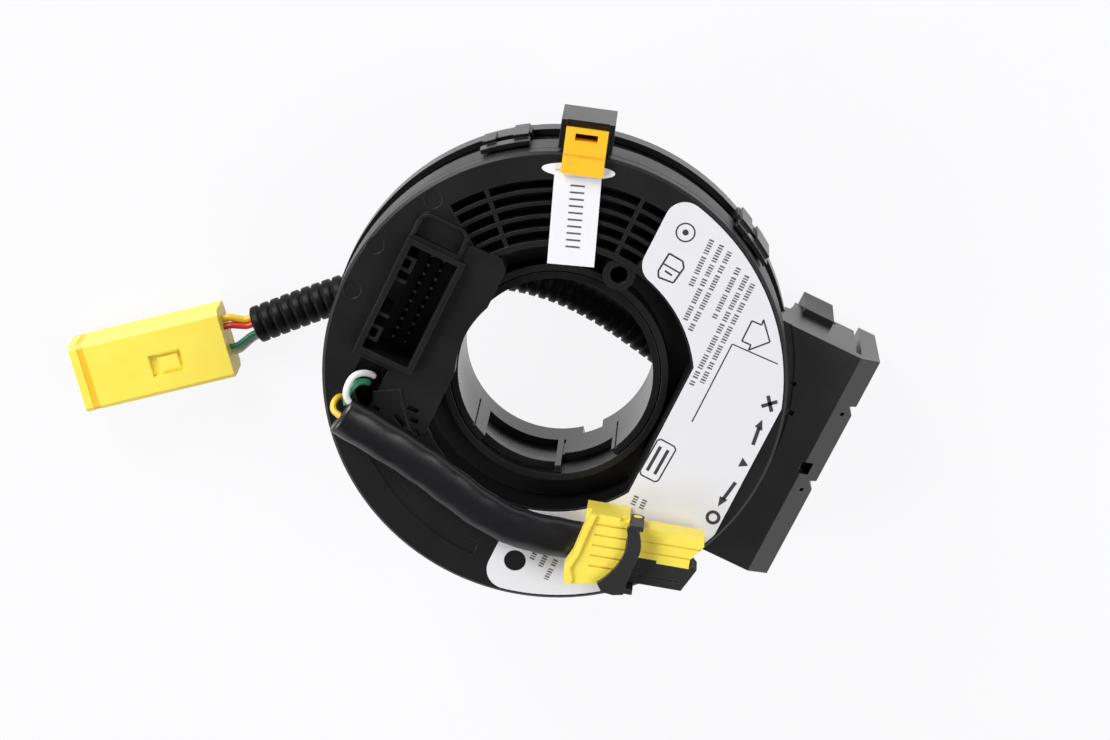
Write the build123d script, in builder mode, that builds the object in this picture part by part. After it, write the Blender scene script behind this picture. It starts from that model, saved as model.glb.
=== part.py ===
from build123d import *
from math import atan2, cos, degrees, hypot, pi, radians, sin, tan
import os

os.makedirs("parts", exist_ok=True)

# Steering clock spring, in millimetres. The origin is on the turning axis, in the plane of the
# back cover. +Z points at the driver and +Y at the housing of the harness connectors.

# ---- Rotor disc ----
rotor_radius = 52.5
face = 26.5
plate = 2.2
skirt_wall = 1.8
skirt_depth = 12.5
face_chamfer = 0.6
line_groove = 0.3
line_groove_drop = 3.7
well_radius = 31.0
well_flat = 26.3
well_wall = 1.4
well_depth = 10.9
well_floor = 1.6
collar_wall = 1.6
collar_drop = 5.0
drum_wall = 1.2
drum_gap = 0.7
drum_depth = 11.0

# ---- Grille in the face ----
grille_start = 171.0
grille_end = 236.0
grille_pitch = 2.95
grille_rib = 0.9
grille_ribs = 5
grille_depth = 6.2
grille_floor = 1.8
grille_rib_drop = 0.3
grille_spokes = (180.5, 225.0)
inner_rib_radius = 29.3
arc_groove_radius = 44.6
arc_groove_width = 3.2
arc_groove_start = -42.0
arc_groove_end = 2.0
shallow = 0.5

# ---- Steering wheel connector on the rotor ----
plateau_rise = 0.8
plateau_depth = 4.9
plateau_edge = -20.7
plateau_left = -19.8
plateau_right = 26.0
plateau_far = -43.4
plateau_setback = 0.3
socket_x = -1.55
socket_y = -36.5
socket_length = 26.3
socket_width = 11.4
socket_wall = 1.3
socket_rise = 3.0
socket_depth = 10.5
socket_floor = 1.2
key_rib = 0.8
key_length = 2.6
key_frame_width = 3.7
key_frames = (2.8, 20.5)
key_ribs = (8.4, 17.3)
pin_pitch = 2.33
pin_rows = 2
pins_per_row = 10
pin_row_pitch = 2.9
pin_size = 0.6
pin_height = 4.5
tower_length = 12.0
tower_width = 6.8
tower_rise = 1.6
tower_corner = 2.7
tower_wall = 0.7
tower_recess = 2.0
pocket_depth = 6.0
pocket_wall = 1.2
arc_plate = (34.7, 41.0, -60.0, -43.0)
face_slot_width = 1.1
face_slot_depth = 1.6
face_slots = [
    (23.9, -33.4, 2.4, 90.0), (20.5, -25.5, 2.8, 90.0), (22.8, -24.2, 2.2, 90.0), (24.1, -27.0, 3.8, 62.0),
    (25.3, -22.3, 2.2, 56.0), (23.7, -19.4, 2.6, 56.0),
]
boss_x = -28.1
boss_y = 2.4
boss_radius = 3.6
boss_bore = 2.0
boss_drop = 1.0

# ---- Hub sleeve ----
bore_radius = 22.1
sleeve_wall = 1.6
sleeve_drop = 5.2
sleeve_reach = 6.5
collar_gap = 0.3
shoulder = 1.2
shoulder_height = 1.2
bead_height = 1.2
bead_reach = 1.5
bead_gap = 0.4
running_gap = 0.10
window_start = -20.6
window_end = 25.4
window_bottom = 2.2
window_top = 16.0
lug_top = 18.5
seam_width = 0.5
seam_depth = 0.4
seam_angles = (-30.0, 29.6, 64.0)
notch_start = 29.0
notch_end = 61.0
notch_bottom = 12.2
lip_notch_start = 39.8
lip_notch_end = 52.5
lip_notch_top = -1.2

# ---- Back cover and case of the fixed half ----
cover_radius = 52.8
cover_thickness = 2.0
flange_wall = 1.4
flange_height = 5.0
guide_wall = 1.5
guide_height = 12.0
case_radius = 51.2
case_wall = 2.6
skirt_gap = 0.4
inner_wall = 1.3
inner_wall_height = 22.0
inner_wall_gap = 0.5
guard_gap = 0.5
guard_wall = 1.0
guard_top = 21.0
guard_band = 4.0
guard_foot = 5.2
guard_half_angle = 6.0
guard_angles = (-142.0, 150.5, 25.0)
bump_reach = 0.8
bump_top = 17.0
bumps = [
    (-139.7, -137.3, 9.4), (-147.6, -144.0, 7.0), (152.3, 156.0, 6.0), (144.8, 150.2, 6.0),
    (19.6, 22.4, 6.0), (27.6, 30.4, 6.0),
]
claw_height = 6.4
claw_radius = 45.0
claw_angles = (0.0, 180.0)
peg_radius = 2.5
peg_height = 4.5
peg_circle = 40.0
peg_angles = (40.0, 220.0)
screw_circle = 49.9
screw_angles = (20.0, 165.0, 235.0)
screw_radius = 0.8
screw_head = 1.9
screw_head_height = 1.4
screw_depth = 9.0
screw_gap = 0.05

# ---- Lock bracket and transport clip ----
bracket_angle = -161.5
bracket_gap = 0.6
bracket_depth = 6.6
bracket_width = 12.0
bracket_wall = 1.4
bracket_bottom = 11.5
bracket_floor = 1.7
bracket_horn = 1.3
bracket_dip = 0.7
clip_width = 9.4
clip_gap = 0.2
clip_cap = 1.2
clip_cap_gap = 0.7
clip_overlap = 5.1
clip_setback = 1.3
clip_tongue_gap = 0.3
clip_slot = 1.6
clip_slot_length = 5.0

# ---- Housing of the harness connectors ----
housing_left = -32.0
housing_right = 25.4
housing_far = 66.5
housing_near = 43.6
housing_top_gap = 0.5
housing_slope_y = 5.0
housing_slope_z = 4.5
apron_bottom = -12.4
apron_wall = 4.8
apron_slot = 1.4
apron_slot_depth = 3.0
housing_floor = -5.7
block_cover_thickness = 1.8
seat_gap = 0.1
rest_level = -15.5
harness_inset = 7.0
latch_window_x = -4.2
latch_window_width = 3.0
latch_window_reach = 0.7
ramp_notches = (-20.2, -0.1)
ramp_notch_reach = 1.7
ramp_notch_width = 3.8
top_slots = [(-20.4, 12.2, 1.2, 1.8), (-14.0, 9.2, 1.4, 1.4)]
slope_holes = (-17.6, 2.8)
slope_hole = 0.5
top_slot_depth = 1.6
harness_pin_margin = 1.0
harness_width = 7.4
harness_wall = 1.2
harness_a_left = -33.4
harness_a_right = -9.0
harness_b_left = 4.0
harness_b_right = 24.0
harness_top = -1.0
harness_depth = 12.5
harness_pin_pitch = 2.2
harness_pin = 0.64
harness_pin_height = 6.5
harness_flange = 1.0

# ---- Ribbon cable, conduit, pigtail and plug ----
ribbon_gap = 1.0
ribbon_outer = 47.6
ribbon_top = 12.5
ribbon_lift = 0.3
conduit_radius = 4.4
conduit_points = [
    (-3.1, 44.0), (-7.2, 24.0), (-11.3, 1.0), (-8.4, -19.0), (2.6, -37.5), (16.0, -52.3), (30.7, -65.4),
]
gland_width = 11.0
gland_length = 4.5
wire_run = 1.7
wire_rise = 0.4
wires = {
    "yellow": (0.9, 2.3, 5.0, 1.0), "red": (0.7, 0.9, 3.2, 1.9), "black": (0.7, 0.6, 2.9, 0.1),
    "green": (0.7, -1.5, -2.1, 1.0), "white": (0.7, -2.7, -3.7, -0.2),
}
plug_x = 36.2
plug_y = -69.9
plug_angle = -49.5
plug_length = 36.6
plug_width = 16.6
plug_height = 11.0
plug_wall = 1.5
plug_mouth_depth = 17.0
plug_chamfer = 1.0
retainer_width = 1.5
retainer_setback = 2.0
retainer_depth = 0.9
retainer_inset = 0.15
plug_pin_pitch = 2.5
plug_pins = 4
plug_pin_length = 8.0
latch_length = 7.8
latch_width = 5.4
latch_recess = 1.2
latch_x = 14.8
latch_y = 1.0
latch_step = 0.5

# ---- Label and tag ----
label_thickness = 0.25
label_start_y = 5.5
label_far_y = 48.7
label_radius = 51.5
label_corner = 4.6
label_margin = 0.5
label_hole_x = 42.9
label_hole_y = 10.8
label_hole = 2.5
tag_thickness = 0.3
tag_width = 10.6
tag_length = 19.0
tag_angle = 18.0
tag_x = -44.9
tag_y = -15.7
tag_wing = 16.2
tag_wing_width = 3.4

# ---- Airbag lead and its connector ----
lead_width = 9.5
lead_height = 5.2
lead_points = [
    (27.4, -39.7, 31.9), (29.0, -29.3, 30.7), (30.5, -18.9, 29.8), (32.6, -9.4, 29.5),
    (34.3, -1.2, 29.5), (34.65, 6.9, 29.6), (33.16, 14.66, 29.6), (31.0, 21.95, 29.6),
]
lead_wire_radius = 0.75
lead_wire_seat = 0.1
lead_wire_starts = {"white": (17.0, -36.6), "green": (19.6, -36.2), "yellow": (20.9, -37.5)}
lead_wires = {
    "white": [
        (16.9, -36.9, 25.6), (16.6, -39.0, 29.6), (17.9, -41.7, 32.0), (20.7, -43.0, 33.2),
        (23.48, -41.51, 32.6), (23.84, -39.15, 32.33),
    ],
    "green": [
        (19.5, -36.5, 25.2), (19.6, -38.6, 28.6), (21.6, -41.4, 30.6), (25.14, -41.92, 31.16),
        (25.5, -39.56, 30.89),
    ],
    "yellow": [
        (20.9, -37.6, 25.0), (22.4, -40.4, 28.7), (25.9, -43.0, 30.0), (28.33, -41.55, 31.19),
        (28.57, -39.98, 31.01),
    ],
}
connector_angle = 106.5
connector_x = 25.8
connector_y = 30.7
connector_base = 0.5
connector_lift = 2.4
block_left = -6.8
block_right = 8.2
block_rear = 9.8
block_height = 9.6
hood_drop = 4.1
hood_left = -7.1
hood_rear_left = 8.8
hood_flare = 10.4
hood_rear = 12.8
block_groove = 0.5
block_groove_depth = 0.5
block_groove_length = 7.4
block_grooves = 5
block_groove_pitch = 2.5
block_slot = 0.8
block_slot_length = 1.9
rim_width = 1.1
rim_rise = 0.7
nose_left = -5.0
nose_right = 2.2
nose_step = 0.7
nose_step_start = 7.6
nose_length = 17.2
nose_short = 15.0
nose_top = 8.0
nose_groove = 0.4
nose_grooves = (3.1, 5.6)
arm_right = 8.4
arm_tip = 14.2
hook_length = 16.9
hook_reach = 1.0
arm_groove = 6.4
lever_gap = 0.3
lever_width = 3.0
lever_thickness = 1.4
lever_top = 12.0
lever_side = 1.2
lever_pivot_rise = 5.2
lever_pivot = 1.0
strap_front = [(-4.6, 2.7), (-1.2, 3.5), (3.6, 2.5), (7.6, 1.7), (10.2, 1.4)]
strap_rear = [(0.4, 0.0), (4.3, -1.5), (8.5, -4.9)]
strap_tail = [(10.7, -0.9), (10.4, -3.6)]


# ---- Shared shapes ----
def disc(radius, bottom, top, mode=Mode.ADD):
    """Extrude a round plate about the turning axis into the open part."""
    with BuildSketch(Plane.XY.offset(bottom)) as plan:
        Circle(radius)
    extrude(plan.sketch, amount=top - bottom, mode=mode)


def ring(inner, outer, bottom, top, mode=Mode.ADD):
    """Extrude a ring about the turning axis into the open part."""
    with BuildSketch(Plane.XY.offset(bottom)) as plan:
        Circle(outer)
        Circle(inner, mode=Mode.SUBTRACT)
    extrude(plan.sketch, amount=top - bottom, mode=mode)


def sector(inner, outer, start, end, bottom, top, mode=Mode.ADD):
    """Extrude a piece of a ring, between two angles, into the open part."""
    with BuildSketch(Plane.XY.offset(bottom)) as plan:
        with BuildLine():
            outer_arc = CenterArc((0, 0), outer, start, end - start)
            inner_arc = CenterArc((0, 0), inner, start, end - start)
            Line(outer_arc @ 0, inner_arc @ 0)
            Line(outer_arc @ 1, inner_arc @ 1)
        make_face()
    extrude(plan.sketch, amount=top - bottom, mode=mode)


def prism(outline, bottom, top, mode=Mode.ADD, grow=0.0):
    """Extrude a straight-sided outline, grown outward by a wall, into the open part."""
    with BuildSketch(Plane.XY.offset(bottom)) as plan:
        with BuildLine():
            Polyline(*outline, close=True)
        make_face()
        if grow:
            offset(amount=grow, kind=Kind.INTERSECTION)
    extrude(plan.sketch, amount=top - bottom, mode=mode)


def bar(left, right, near, far, bottom, top, mode=Mode.ADD):
    """Extrude a rectangle given by its four sides into the open part."""
    prism([(left, near), (right, near), (right, far), (left, far)], bottom, top, mode)


def well(radius, flat, bottom, top, mode=Mode.ADD):
    """Extrude a round well that is cut off straight at y = flat."""
    with BuildSketch(Plane.XY.offset(bottom)) as plan:
        Circle(radius)
        with Locations((0, flat + radius)):
            Rectangle(4 * radius, 2 * radius, mode=Mode.SUBTRACT)
    extrude(plan.sketch, amount=top - bottom, mode=mode)


def spoke(angle, inner, outer, width, bottom, top, mode=Mode.ADD):
    """Extrude a straight bar that points away from the turning axis."""
    plane = Plane(origin=(0, 0, bottom), x_dir=(cos(radians(angle)), sin(radians(angle)), 0))
    with BuildSketch(plane) as plan:
        with Locations(((inner + outer) / 2, 0)):
            Rectangle(outer - inner, width)
    extrude(plan.sketch, amount=top - bottom, mode=mode)


def corner_radii(points, name):
    """Give each corner the largest arc that its two runs allow, and print the radii."""
    radii = []
    for before, corner, after in zip(points, points[1:], points[2:]):
        run_in = Vector(*corner) - Vector(*before)
        run_out = Vector(*after) - Vector(*corner)
        turn = radians(run_in.get_angle(run_out))
        radii.append(0.45 * min(run_in.length, run_out.length) / tan(turn / 2))
    print(name, "arc radii", [round(radius, 1) for radius in radii])
    return radii


def check_tube(piece, area, length, name):
    """Compare a tube's volume with its section times its length."""
    print(name, "volume", round(piece.part.volume, 1), "section x length", round(area * length, 1))


# ---- Rotor disc: face, skirt, well, connector socket and grille in one moulding ----
plate_bottom = face - plate
skirt_bottom = face - skirt_depth
floor_top = face - well_depth
floor_bottom = floor_top - well_floor
sleeve_outer = bore_radius + sleeve_wall
collar_inner = sleeve_outer + collar_gap
collar_outer = collar_inner + collar_wall
collar_top = face - collar_drop
guide_inner = sleeve_outer + running_gap
guide_outer = guide_inner + guide_wall
drum_inner = guide_outer + drum_gap
ribbon_inner = drum_inner + drum_wall + ribbon_gap
well_outer = well_radius + well_wall
grille_top = face - grille_rib_drop
grille_level = face - grille_depth
grille_under = grille_level - grille_floor
grille_outer = well_outer + grille_ribs * grille_pitch - grille_rib
grille_frame = grille_outer + well_wall
plateau_top = face + plateau_rise
plateau_under = face - plateau_depth
socket_top = face + socket_rise
socket_floor_top = face - socket_depth
socket_under = socket_floor_top - socket_floor
socket_left = socket_x - socket_length / 2
socket_right = socket_x + socket_length / 2
socket_near = socket_y + socket_width / 2
socket_far = socket_y - socket_width / 2
key_end = socket_far + key_length
tower_top = face + tower_rise
tower_right = socket_left - socket_wall
tower_left = tower_right - tower_width
tower_near = socket_near - 0.4
tower_far = tower_near - tower_length
pocket_left = socket_right + 2.2 * socket_wall
pocket_right = plateau_right + 0.3
pocket_near = socket_near - 3.7
pocket_far = socket_far + 1.0
pocket_level = face - pocket_depth
pocket_outline = [
    (pocket_left, pocket_near), (pocket_right, pocket_near), (pocket_right, pocket_near - 1.7),
    (pocket_right - 6.0, pocket_far), (pocket_left, pocket_far),
]
plateau_outline = [
    (plateau_left, socket_near), (plateau_left - 0.4, plateau_edge - 2.0), (plateau_left + 1.6, plateau_edge),
    (plateau_right - 1.5, plateau_edge), (plateau_right, plateau_edge - 2.0), (plateau_right, pocket_near),
    (pocket_left, pocket_near), (pocket_left, plateau_far), (plateau_left, plateau_far),
]
ejector_marks = [(-25.4, -42.2), (-10.2, -49.4), (1.5, -49.6)]
ejector_radius = 2.0
mark_depth = 0.25



def on_circle(radius, angle):
    """Give the point at a radius and an angle in degrees."""
    return radius * cos(radians(angle)), radius * sin(radians(angle))


def tower(inset, bottom, top, mode=Mode.ADD):
    """Extrude the round-cornered box beside the socket, or its hollow, into the open part."""
    corner = tower_corner - inset
    with BuildSketch(Plane.XY.offset(bottom)) as plan:
        with BuildLine():
            FilletPolyline(
                (tower_right - inset, tower_near - inset), (tower_left + inset, tower_near - inset),
                (tower_left + inset, tower_far + inset), (tower_right - inset, tower_far + inset),
                radius=corner)
            Line((tower_right - inset, tower_far + inset), (tower_right - inset, tower_near - inset))
        make_face()
    extrude(plan.sketch, amount=top - bottom, mode=mode)


with BuildPart() as rotor_disc:
    ring(collar_inner, rotor_radius, plate_bottom, face)
    rim_edges = rotor_disc.edges().filter_by(GeomType.CIRCLE).group_by(Axis.Z)[-1]
    chamfer(rim_edges.sort_by(SortBy.RADIUS)[-1], face_chamfer)
    ring(rotor_radius - skirt_wall, rotor_radius, skirt_bottom, plate_bottom)
    groove_level = face - line_groove_drop
    ring(rotor_radius - line_groove, rotor_radius + 1, groove_level - line_groove, groove_level,
         Mode.SUBTRACT)
    well(well_outer, well_flat + well_wall, floor_bottom, plate_bottom)
    well(well_radius, well_flat, floor_top, face, Mode.SUBTRACT)
    # Grille: a lowered floor with round ribs and two spokes
    sector(well_outer, grille_outer, grille_start, grille_end, plate_bottom, face, Mode.SUBTRACT)
    sector(well_radius, grille_frame, grille_start, grille_end, grille_under, grille_level)
    sector(grille_outer, grille_frame, grille_start, grille_end, grille_under, plate_bottom)
    for edge_angle in (grille_start - 2.0, grille_end):
        sector(well_radius, grille_frame, edge_angle, edge_angle + 2.0, grille_under, plate_bottom)
    for number in range(1, grille_ribs):
        rib_inner = well_outer + number * grille_pitch - grille_rib
        sector(rib_inner, rib_inner + grille_rib, grille_start, grille_end, grille_level, grille_top)
    for spoke_angle in grille_spokes:
        spoke(spoke_angle, well_radius + well_wall / 2, grille_outer, grille_rib, grille_level, grille_top)
    sector(inner_rib_radius, inner_rib_radius + grille_rib, grille_start, grille_end, floor_top, grille_level)
    arc_inner = arc_groove_radius - arc_groove_width / 2
    arc_outer = arc_groove_radius + arc_groove_width / 2
    sector(arc_inner, arc_outer, arc_groove_start, arc_groove_end, face - shallow, face, Mode.SUBTRACT)
    # Housing of the connector, reaching over the well
    prism(plateau_outline, plateau_under, plateau_top)
    tower(0, plateau_under, tower_top)
    bar(tower_right, socket_right + socket_wall, socket_far - socket_wall, socket_near + socket_wall,
        socket_under, socket_top)
    prism(pocket_outline, pocket_level - pocket_wall, plate_bottom, grow=pocket_wall)
    # The bore and the collar that stands round it
    disc(collar_inner, floor_bottom, plateau_under, Mode.SUBTRACT)
    disc(bore_radius + plateau_setback, plateau_under, socket_top, Mode.SUBTRACT)
    ring(collar_inner, collar_outer, floor_bottom, collar_top)
    ring(drum_inner, drum_inner + drum_wall, floor_bottom - drum_depth, floor_bottom)
    # Hollows of the tower, the socket and the wire pocket
    tower(tower_wall, tower_top - tower_recess, tower_top, Mode.SUBTRACT)
    bar(socket_left, socket_right, socket_far, socket_near, socket_floor_top, socket_top, Mode.SUBTRACT)
    prism(pocket_outline, pocket_level, plateau_top, Mode.SUBTRACT)
    # Key ribs along the far wall of the socket
    for frame_left in [socket_left + step for step in key_frames]:
        for rib_left in (frame_left, frame_left + key_frame_width - key_rib):
            bar(rib_left, rib_left + key_rib, socket_far, key_end, socket_floor_top, socket_top - 1)
        bar(frame_left, frame_left + key_frame_width, key_end - key_rib, key_end,
            socket_floor_top, socket_top - 1)
    for rib_left in [socket_left + step for step in key_ribs]:
        bar(rib_left, rib_left + key_rib, socket_far, key_end, socket_floor_top, socket_top - 1)
    # Screw boss in the well
    with Locations((boss_x, boss_y, floor_bottom)):
        Cylinder(boss_radius, face - boss_drop - floor_bottom, align=(Align.CENTER, Align.CENTER, Align.MIN))
    with Locations((boss_x, boss_y, floor_top)):
        Cylinder(boss_bore, well_depth, align=(Align.CENTER, Align.CENTER, Align.MIN), mode=Mode.SUBTRACT)
    # Raised arc plate, small moulded slots and ejector marks
    sector(*arc_plate, plateau_under, plateau_top + shallow)
    for slot_x, slot_y, slot_length, slot_turn in face_slots:
        with BuildSketch(Plane.XY.offset(plateau_top + shallow)):
            with Locations((slot_x, slot_y)):
                Rectangle(slot_length, face_slot_width, rotation=slot_turn)
        extrude(amount=-face_slot_depth - shallow, mode=Mode.SUBTRACT)
    with BuildSketch(Plane.XY.offset(face)):
        with Locations(*ejector_marks):
            Circle(ejector_radius)
    extrude(amount=-mark_depth, mode=Mode.SUBTRACT)
rotor_disc.part.label = "rotor_disc"
export_step(rotor_disc.part, "parts/rotor_disc.step")

# ---- Pins of the steering wheel connector ----
with BuildPart() as socket_pins:
    with BuildSketch(Plane.XY.offset(socket_floor_top)):
        with Locations((socket_x, socket_y + pin_row_pitch / 2)):
            with GridLocations(pin_pitch, pin_row_pitch, pins_per_row, pin_rows):
                Rectangle(pin_size, pin_size)
    extrude(amount=pin_height)
socket_pins.part.label = "socket_pins"
export_step(socket_pins.part, "parts/socket_pins.step")

# ---- Hub sleeve: the splined bush that goes round the steering column ----
sleeve_top = face - sleeve_drop
bead_top = -bead_gap
with BuildPart() as hub_sleeve:
    ring(bore_radius, sleeve_outer, -sleeve_reach, sleeve_top)
    ring(bore_radius, sleeve_outer + shoulder, floor_bottom - shoulder_height, floor_bottom)
    ring(bore_radius, sleeve_outer + bead_reach, bead_top - bead_height, bead_top)
    for seam_angle in seam_angles:
        spoke(seam_angle, bore_radius - 1, bore_radius + seam_depth, seam_width, window_bottom, sleeve_top,
              Mode.SUBTRACT)
    for turn in (0, 180):
        sector(bore_radius - 1, sleeve_outer + 2, window_start + turn, window_end + turn,
               window_bottom, window_top, Mode.SUBTRACT)
    sector(bore_radius - 1, sleeve_outer + 2, window_start, window_end, lug_top, sleeve_top, Mode.SUBTRACT)
    sector(bore_radius - 1, sleeve_outer + 2, notch_start, notch_end, notch_bottom, sleeve_top, Mode.SUBTRACT)
    sector(bore_radius - 1, sleeve_outer + 2, lip_notch_start, lip_notch_end, -sleeve_reach, lip_notch_top,
           Mode.SUBTRACT)
hub_sleeve.part.label = "hub_sleeve"
export_step(hub_sleeve.part, "parts/hub_sleeve.step")

# ---- Label on the rotor face ----
with BuildPart() as label:
    with BuildSketch(Plane.XY.offset(face)):
        Circle(label_radius)
        with Locations((0, label_start_y - label_radius)):
            Rectangle(4 * label_radius, 2 * label_radius, mode=Mode.SUBTRACT)
        with Locations((0, label_far_y + label_radius)):
            Rectangle(4 * label_radius, 2 * label_radius, mode=Mode.SUBTRACT)
        with BuildSketch(mode=Mode.SUBTRACT):
            Circle(well_radius + label_margin)
            with Locations((0, well_flat + label_margin + well_radius)):
                Rectangle(4 * well_radius, 2 * well_radius, mode=Mode.SUBTRACT)
        with Locations((label_hole_x, label_hole_y)):
            Circle(label_hole, mode=Mode.SUBTRACT)
    extrude(amount=label_thickness)
    end_corners = label.edges().filter_by(Axis.Z).group_by(Axis.Y)[0]
    fillet(end_corners, label_corner)
label.part.label = "label"
export_step(label.part, "parts/label.step")

# ---- Paper tag that lies under the transport clip ----
tag_plane = Plane(origin=(tag_x, tag_y, face), x_dir=(cos(radians(tag_angle)), sin(radians(tag_angle)), 0))
with BuildPart() as tag:
    with BuildSketch(tag_plane):
        with Locations((tag_length / 2, 0)):
            Rectangle(tag_length, tag_width)
        Ellipse(tag_wing_width / 2, tag_wing / 2)
    extrude(amount=tag_thickness)
tag.part.label = "tag"
export_step(tag.part, "parts/tag.step")

# ---- Back cover of the fixed half ----
with BuildPart() as back_cover:
    ring(guide_inner, cover_radius, 0, cover_thickness)
    ring(cover_radius - flange_wall, cover_radius, cover_thickness, flange_height)
    ring(guide_inner, guide_outer, cover_thickness, guide_height)
    for claw_angle in claw_angles:
        sector(claw_radius - 2, claw_radius, claw_angle - 5, claw_angle + 5, -claw_height, 0)
        sector(claw_radius, claw_radius + 1.2, claw_angle - 5, claw_angle + 5, -claw_height, 1.6 - claw_height)
    with BuildSketch(Plane.XY):
        for peg_angle in peg_angles:
            with Locations((peg_circle * cos(radians(peg_angle)), peg_circle * sin(radians(peg_angle)))):
                Circle(peg_radius)
    extrude(amount=-peg_height)
    with BuildSketch(Plane.XY):
        for screw_angle in screw_angles:
            with Locations(on_circle(screw_circle, screw_angle)):
                Circle(screw_radius + screw_gap)
    extrude(amount=cover_thickness, mode=Mode.SUBTRACT)
back_cover.part.label = "back_cover"
export_step(back_cover.part, "parts/back_cover.step")

# ---- Screws of the back cover ----
with BuildPart() as cover_screws:
    with BuildSketch(Plane.XY.offset(-screw_head_height)):
        for screw_angle in screw_angles:
            with Locations(on_circle(screw_circle, screw_angle)):
                Circle(screw_head)
                Rectangle(0.5, 2.4, mode=Mode.SUBTRACT)
                Rectangle(2.4, 0.5, mode=Mode.SUBTRACT)
    extrude(amount=screw_head_height / 2)
    with BuildSketch(Plane.XY.offset(-screw_head_height / 2)):
        for screw_angle in screw_angles:
            with Locations(on_circle(screw_circle, screw_angle)):
                Circle(screw_head)
    extrude(amount=screw_head_height / 2)
    with BuildSketch(Plane.XY):
        for screw_angle in screw_angles:
            with Locations(on_circle(screw_circle, screw_angle)):
                Circle(screw_radius)
    extrude(amount=screw_depth)
cover_screws.part.label = "cover_screws"
export_step(cover_screws.part, "parts/cover_screws.step")

# ---- Case of the fixed half: wall, guards and the lock bracket ----
case_top = skirt_bottom - skirt_gap
inner_wall_outer = rotor_radius - skirt_wall - inner_wall_gap
guard_inner = rotor_radius + guard_gap
guard_outer = guard_inner + guard_wall
bracket_inner = rotor_radius + bracket_gap
bracket_outer = bracket_inner + bracket_depth
bracket_floor_top = bracket_bottom + bracket_floor
with BuildPart() as stator_case:
    ring(case_radius - case_wall, case_radius, cover_thickness, case_top)
    ring(inner_wall_outer - inner_wall, inner_wall_outer, case_top, inner_wall_height)
    for guard_angle in guard_angles:
        start = guard_angle - guard_half_angle
        end = guard_angle + guard_half_angle
        sector(case_radius - 1, guard_outer, start, end, guard_foot, case_top - 1)
        sector(guard_inner, guard_outer, start, end, guard_top - guard_band, guard_top)
    for bump_start, bump_end, bump_bottom in bumps:
        sector(guard_inner, guard_outer + bump_reach, bump_start, bump_end, bump_bottom, bump_top)
        sector(guard_inner, guard_outer, bump_start, bump_end, guard_foot, guard_top)
    spoke(bracket_angle, case_radius - 1, bracket_outer, bracket_width, bracket_bottom, bracket_floor_top)
    spoke(bracket_angle, bracket_inner, bracket_outer, bracket_width, bracket_floor_top, face)
    spoke(bracket_angle, bracket_inner - 1, bracket_outer - bracket_wall, bracket_width - 2 * bracket_wall,
          bracket_floor_top, face, Mode.SUBTRACT)
    spoke(bracket_angle, bracket_outer - bracket_wall - 1, bracket_outer + 1,
          bracket_width - 2 * bracket_horn, face - bracket_dip, face, Mode.SUBTRACT)
    with BuildSketch(Plane.XY.offset(cover_thickness)):
        for screw_angle in screw_angles:
            with Locations(on_circle(screw_circle, screw_angle)):
                Circle(screw_radius + screw_gap)
    extrude(amount=screw_depth - cover_thickness + screw_gap, mode=Mode.SUBTRACT)
stator_case.part.label = "stator_case"
export_step(stator_case.part, "parts/stator_case.step")

# ---- Transport clip: holds the rotor centred until the part is fitted ----
clip_under = face + clip_cap_gap
clip_inner = bracket_inner - clip_overlap
clip_outer = bracket_outer - clip_setback
clip_tongue = bracket_inner + clip_tongue_gap
tongue_outer = bracket_outer - bracket_wall - clip_gap
tongue_half = bracket_width / 2 - bracket_wall - clip_gap
with BuildPart() as transport_clip:
    spoke(bracket_angle, clip_inner, clip_outer, clip_width, clip_under, clip_under + clip_cap)
    spoke(bracket_angle, clip_tongue, tongue_outer, 2 * tongue_half, bracket_floor_top, clip_under)
    spoke(bracket_angle, clip_tongue + 1.2, tongue_outer - 1.2, 2 * tongue_half - 2.4,
          bracket_floor_top, clip_under - 1.5, Mode.SUBTRACT)
    spoke(bracket_angle, tongue_outer - 2.4, tongue_outer - 2.4 + clip_slot, clip_slot_length,
          clip_under - 1.5, clip_under + clip_cap, Mode.SUBTRACT)
    spoke(bracket_angle, clip_tongue - 1.4, clip_tongue - 0.9, clip_width,
          clip_under + clip_cap - 0.3, clip_under + clip_cap, Mode.SUBTRACT)
transport_clip.part.label = "transport_clip"
export_step(transport_clip.part, "parts/transport_clip.step")

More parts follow.
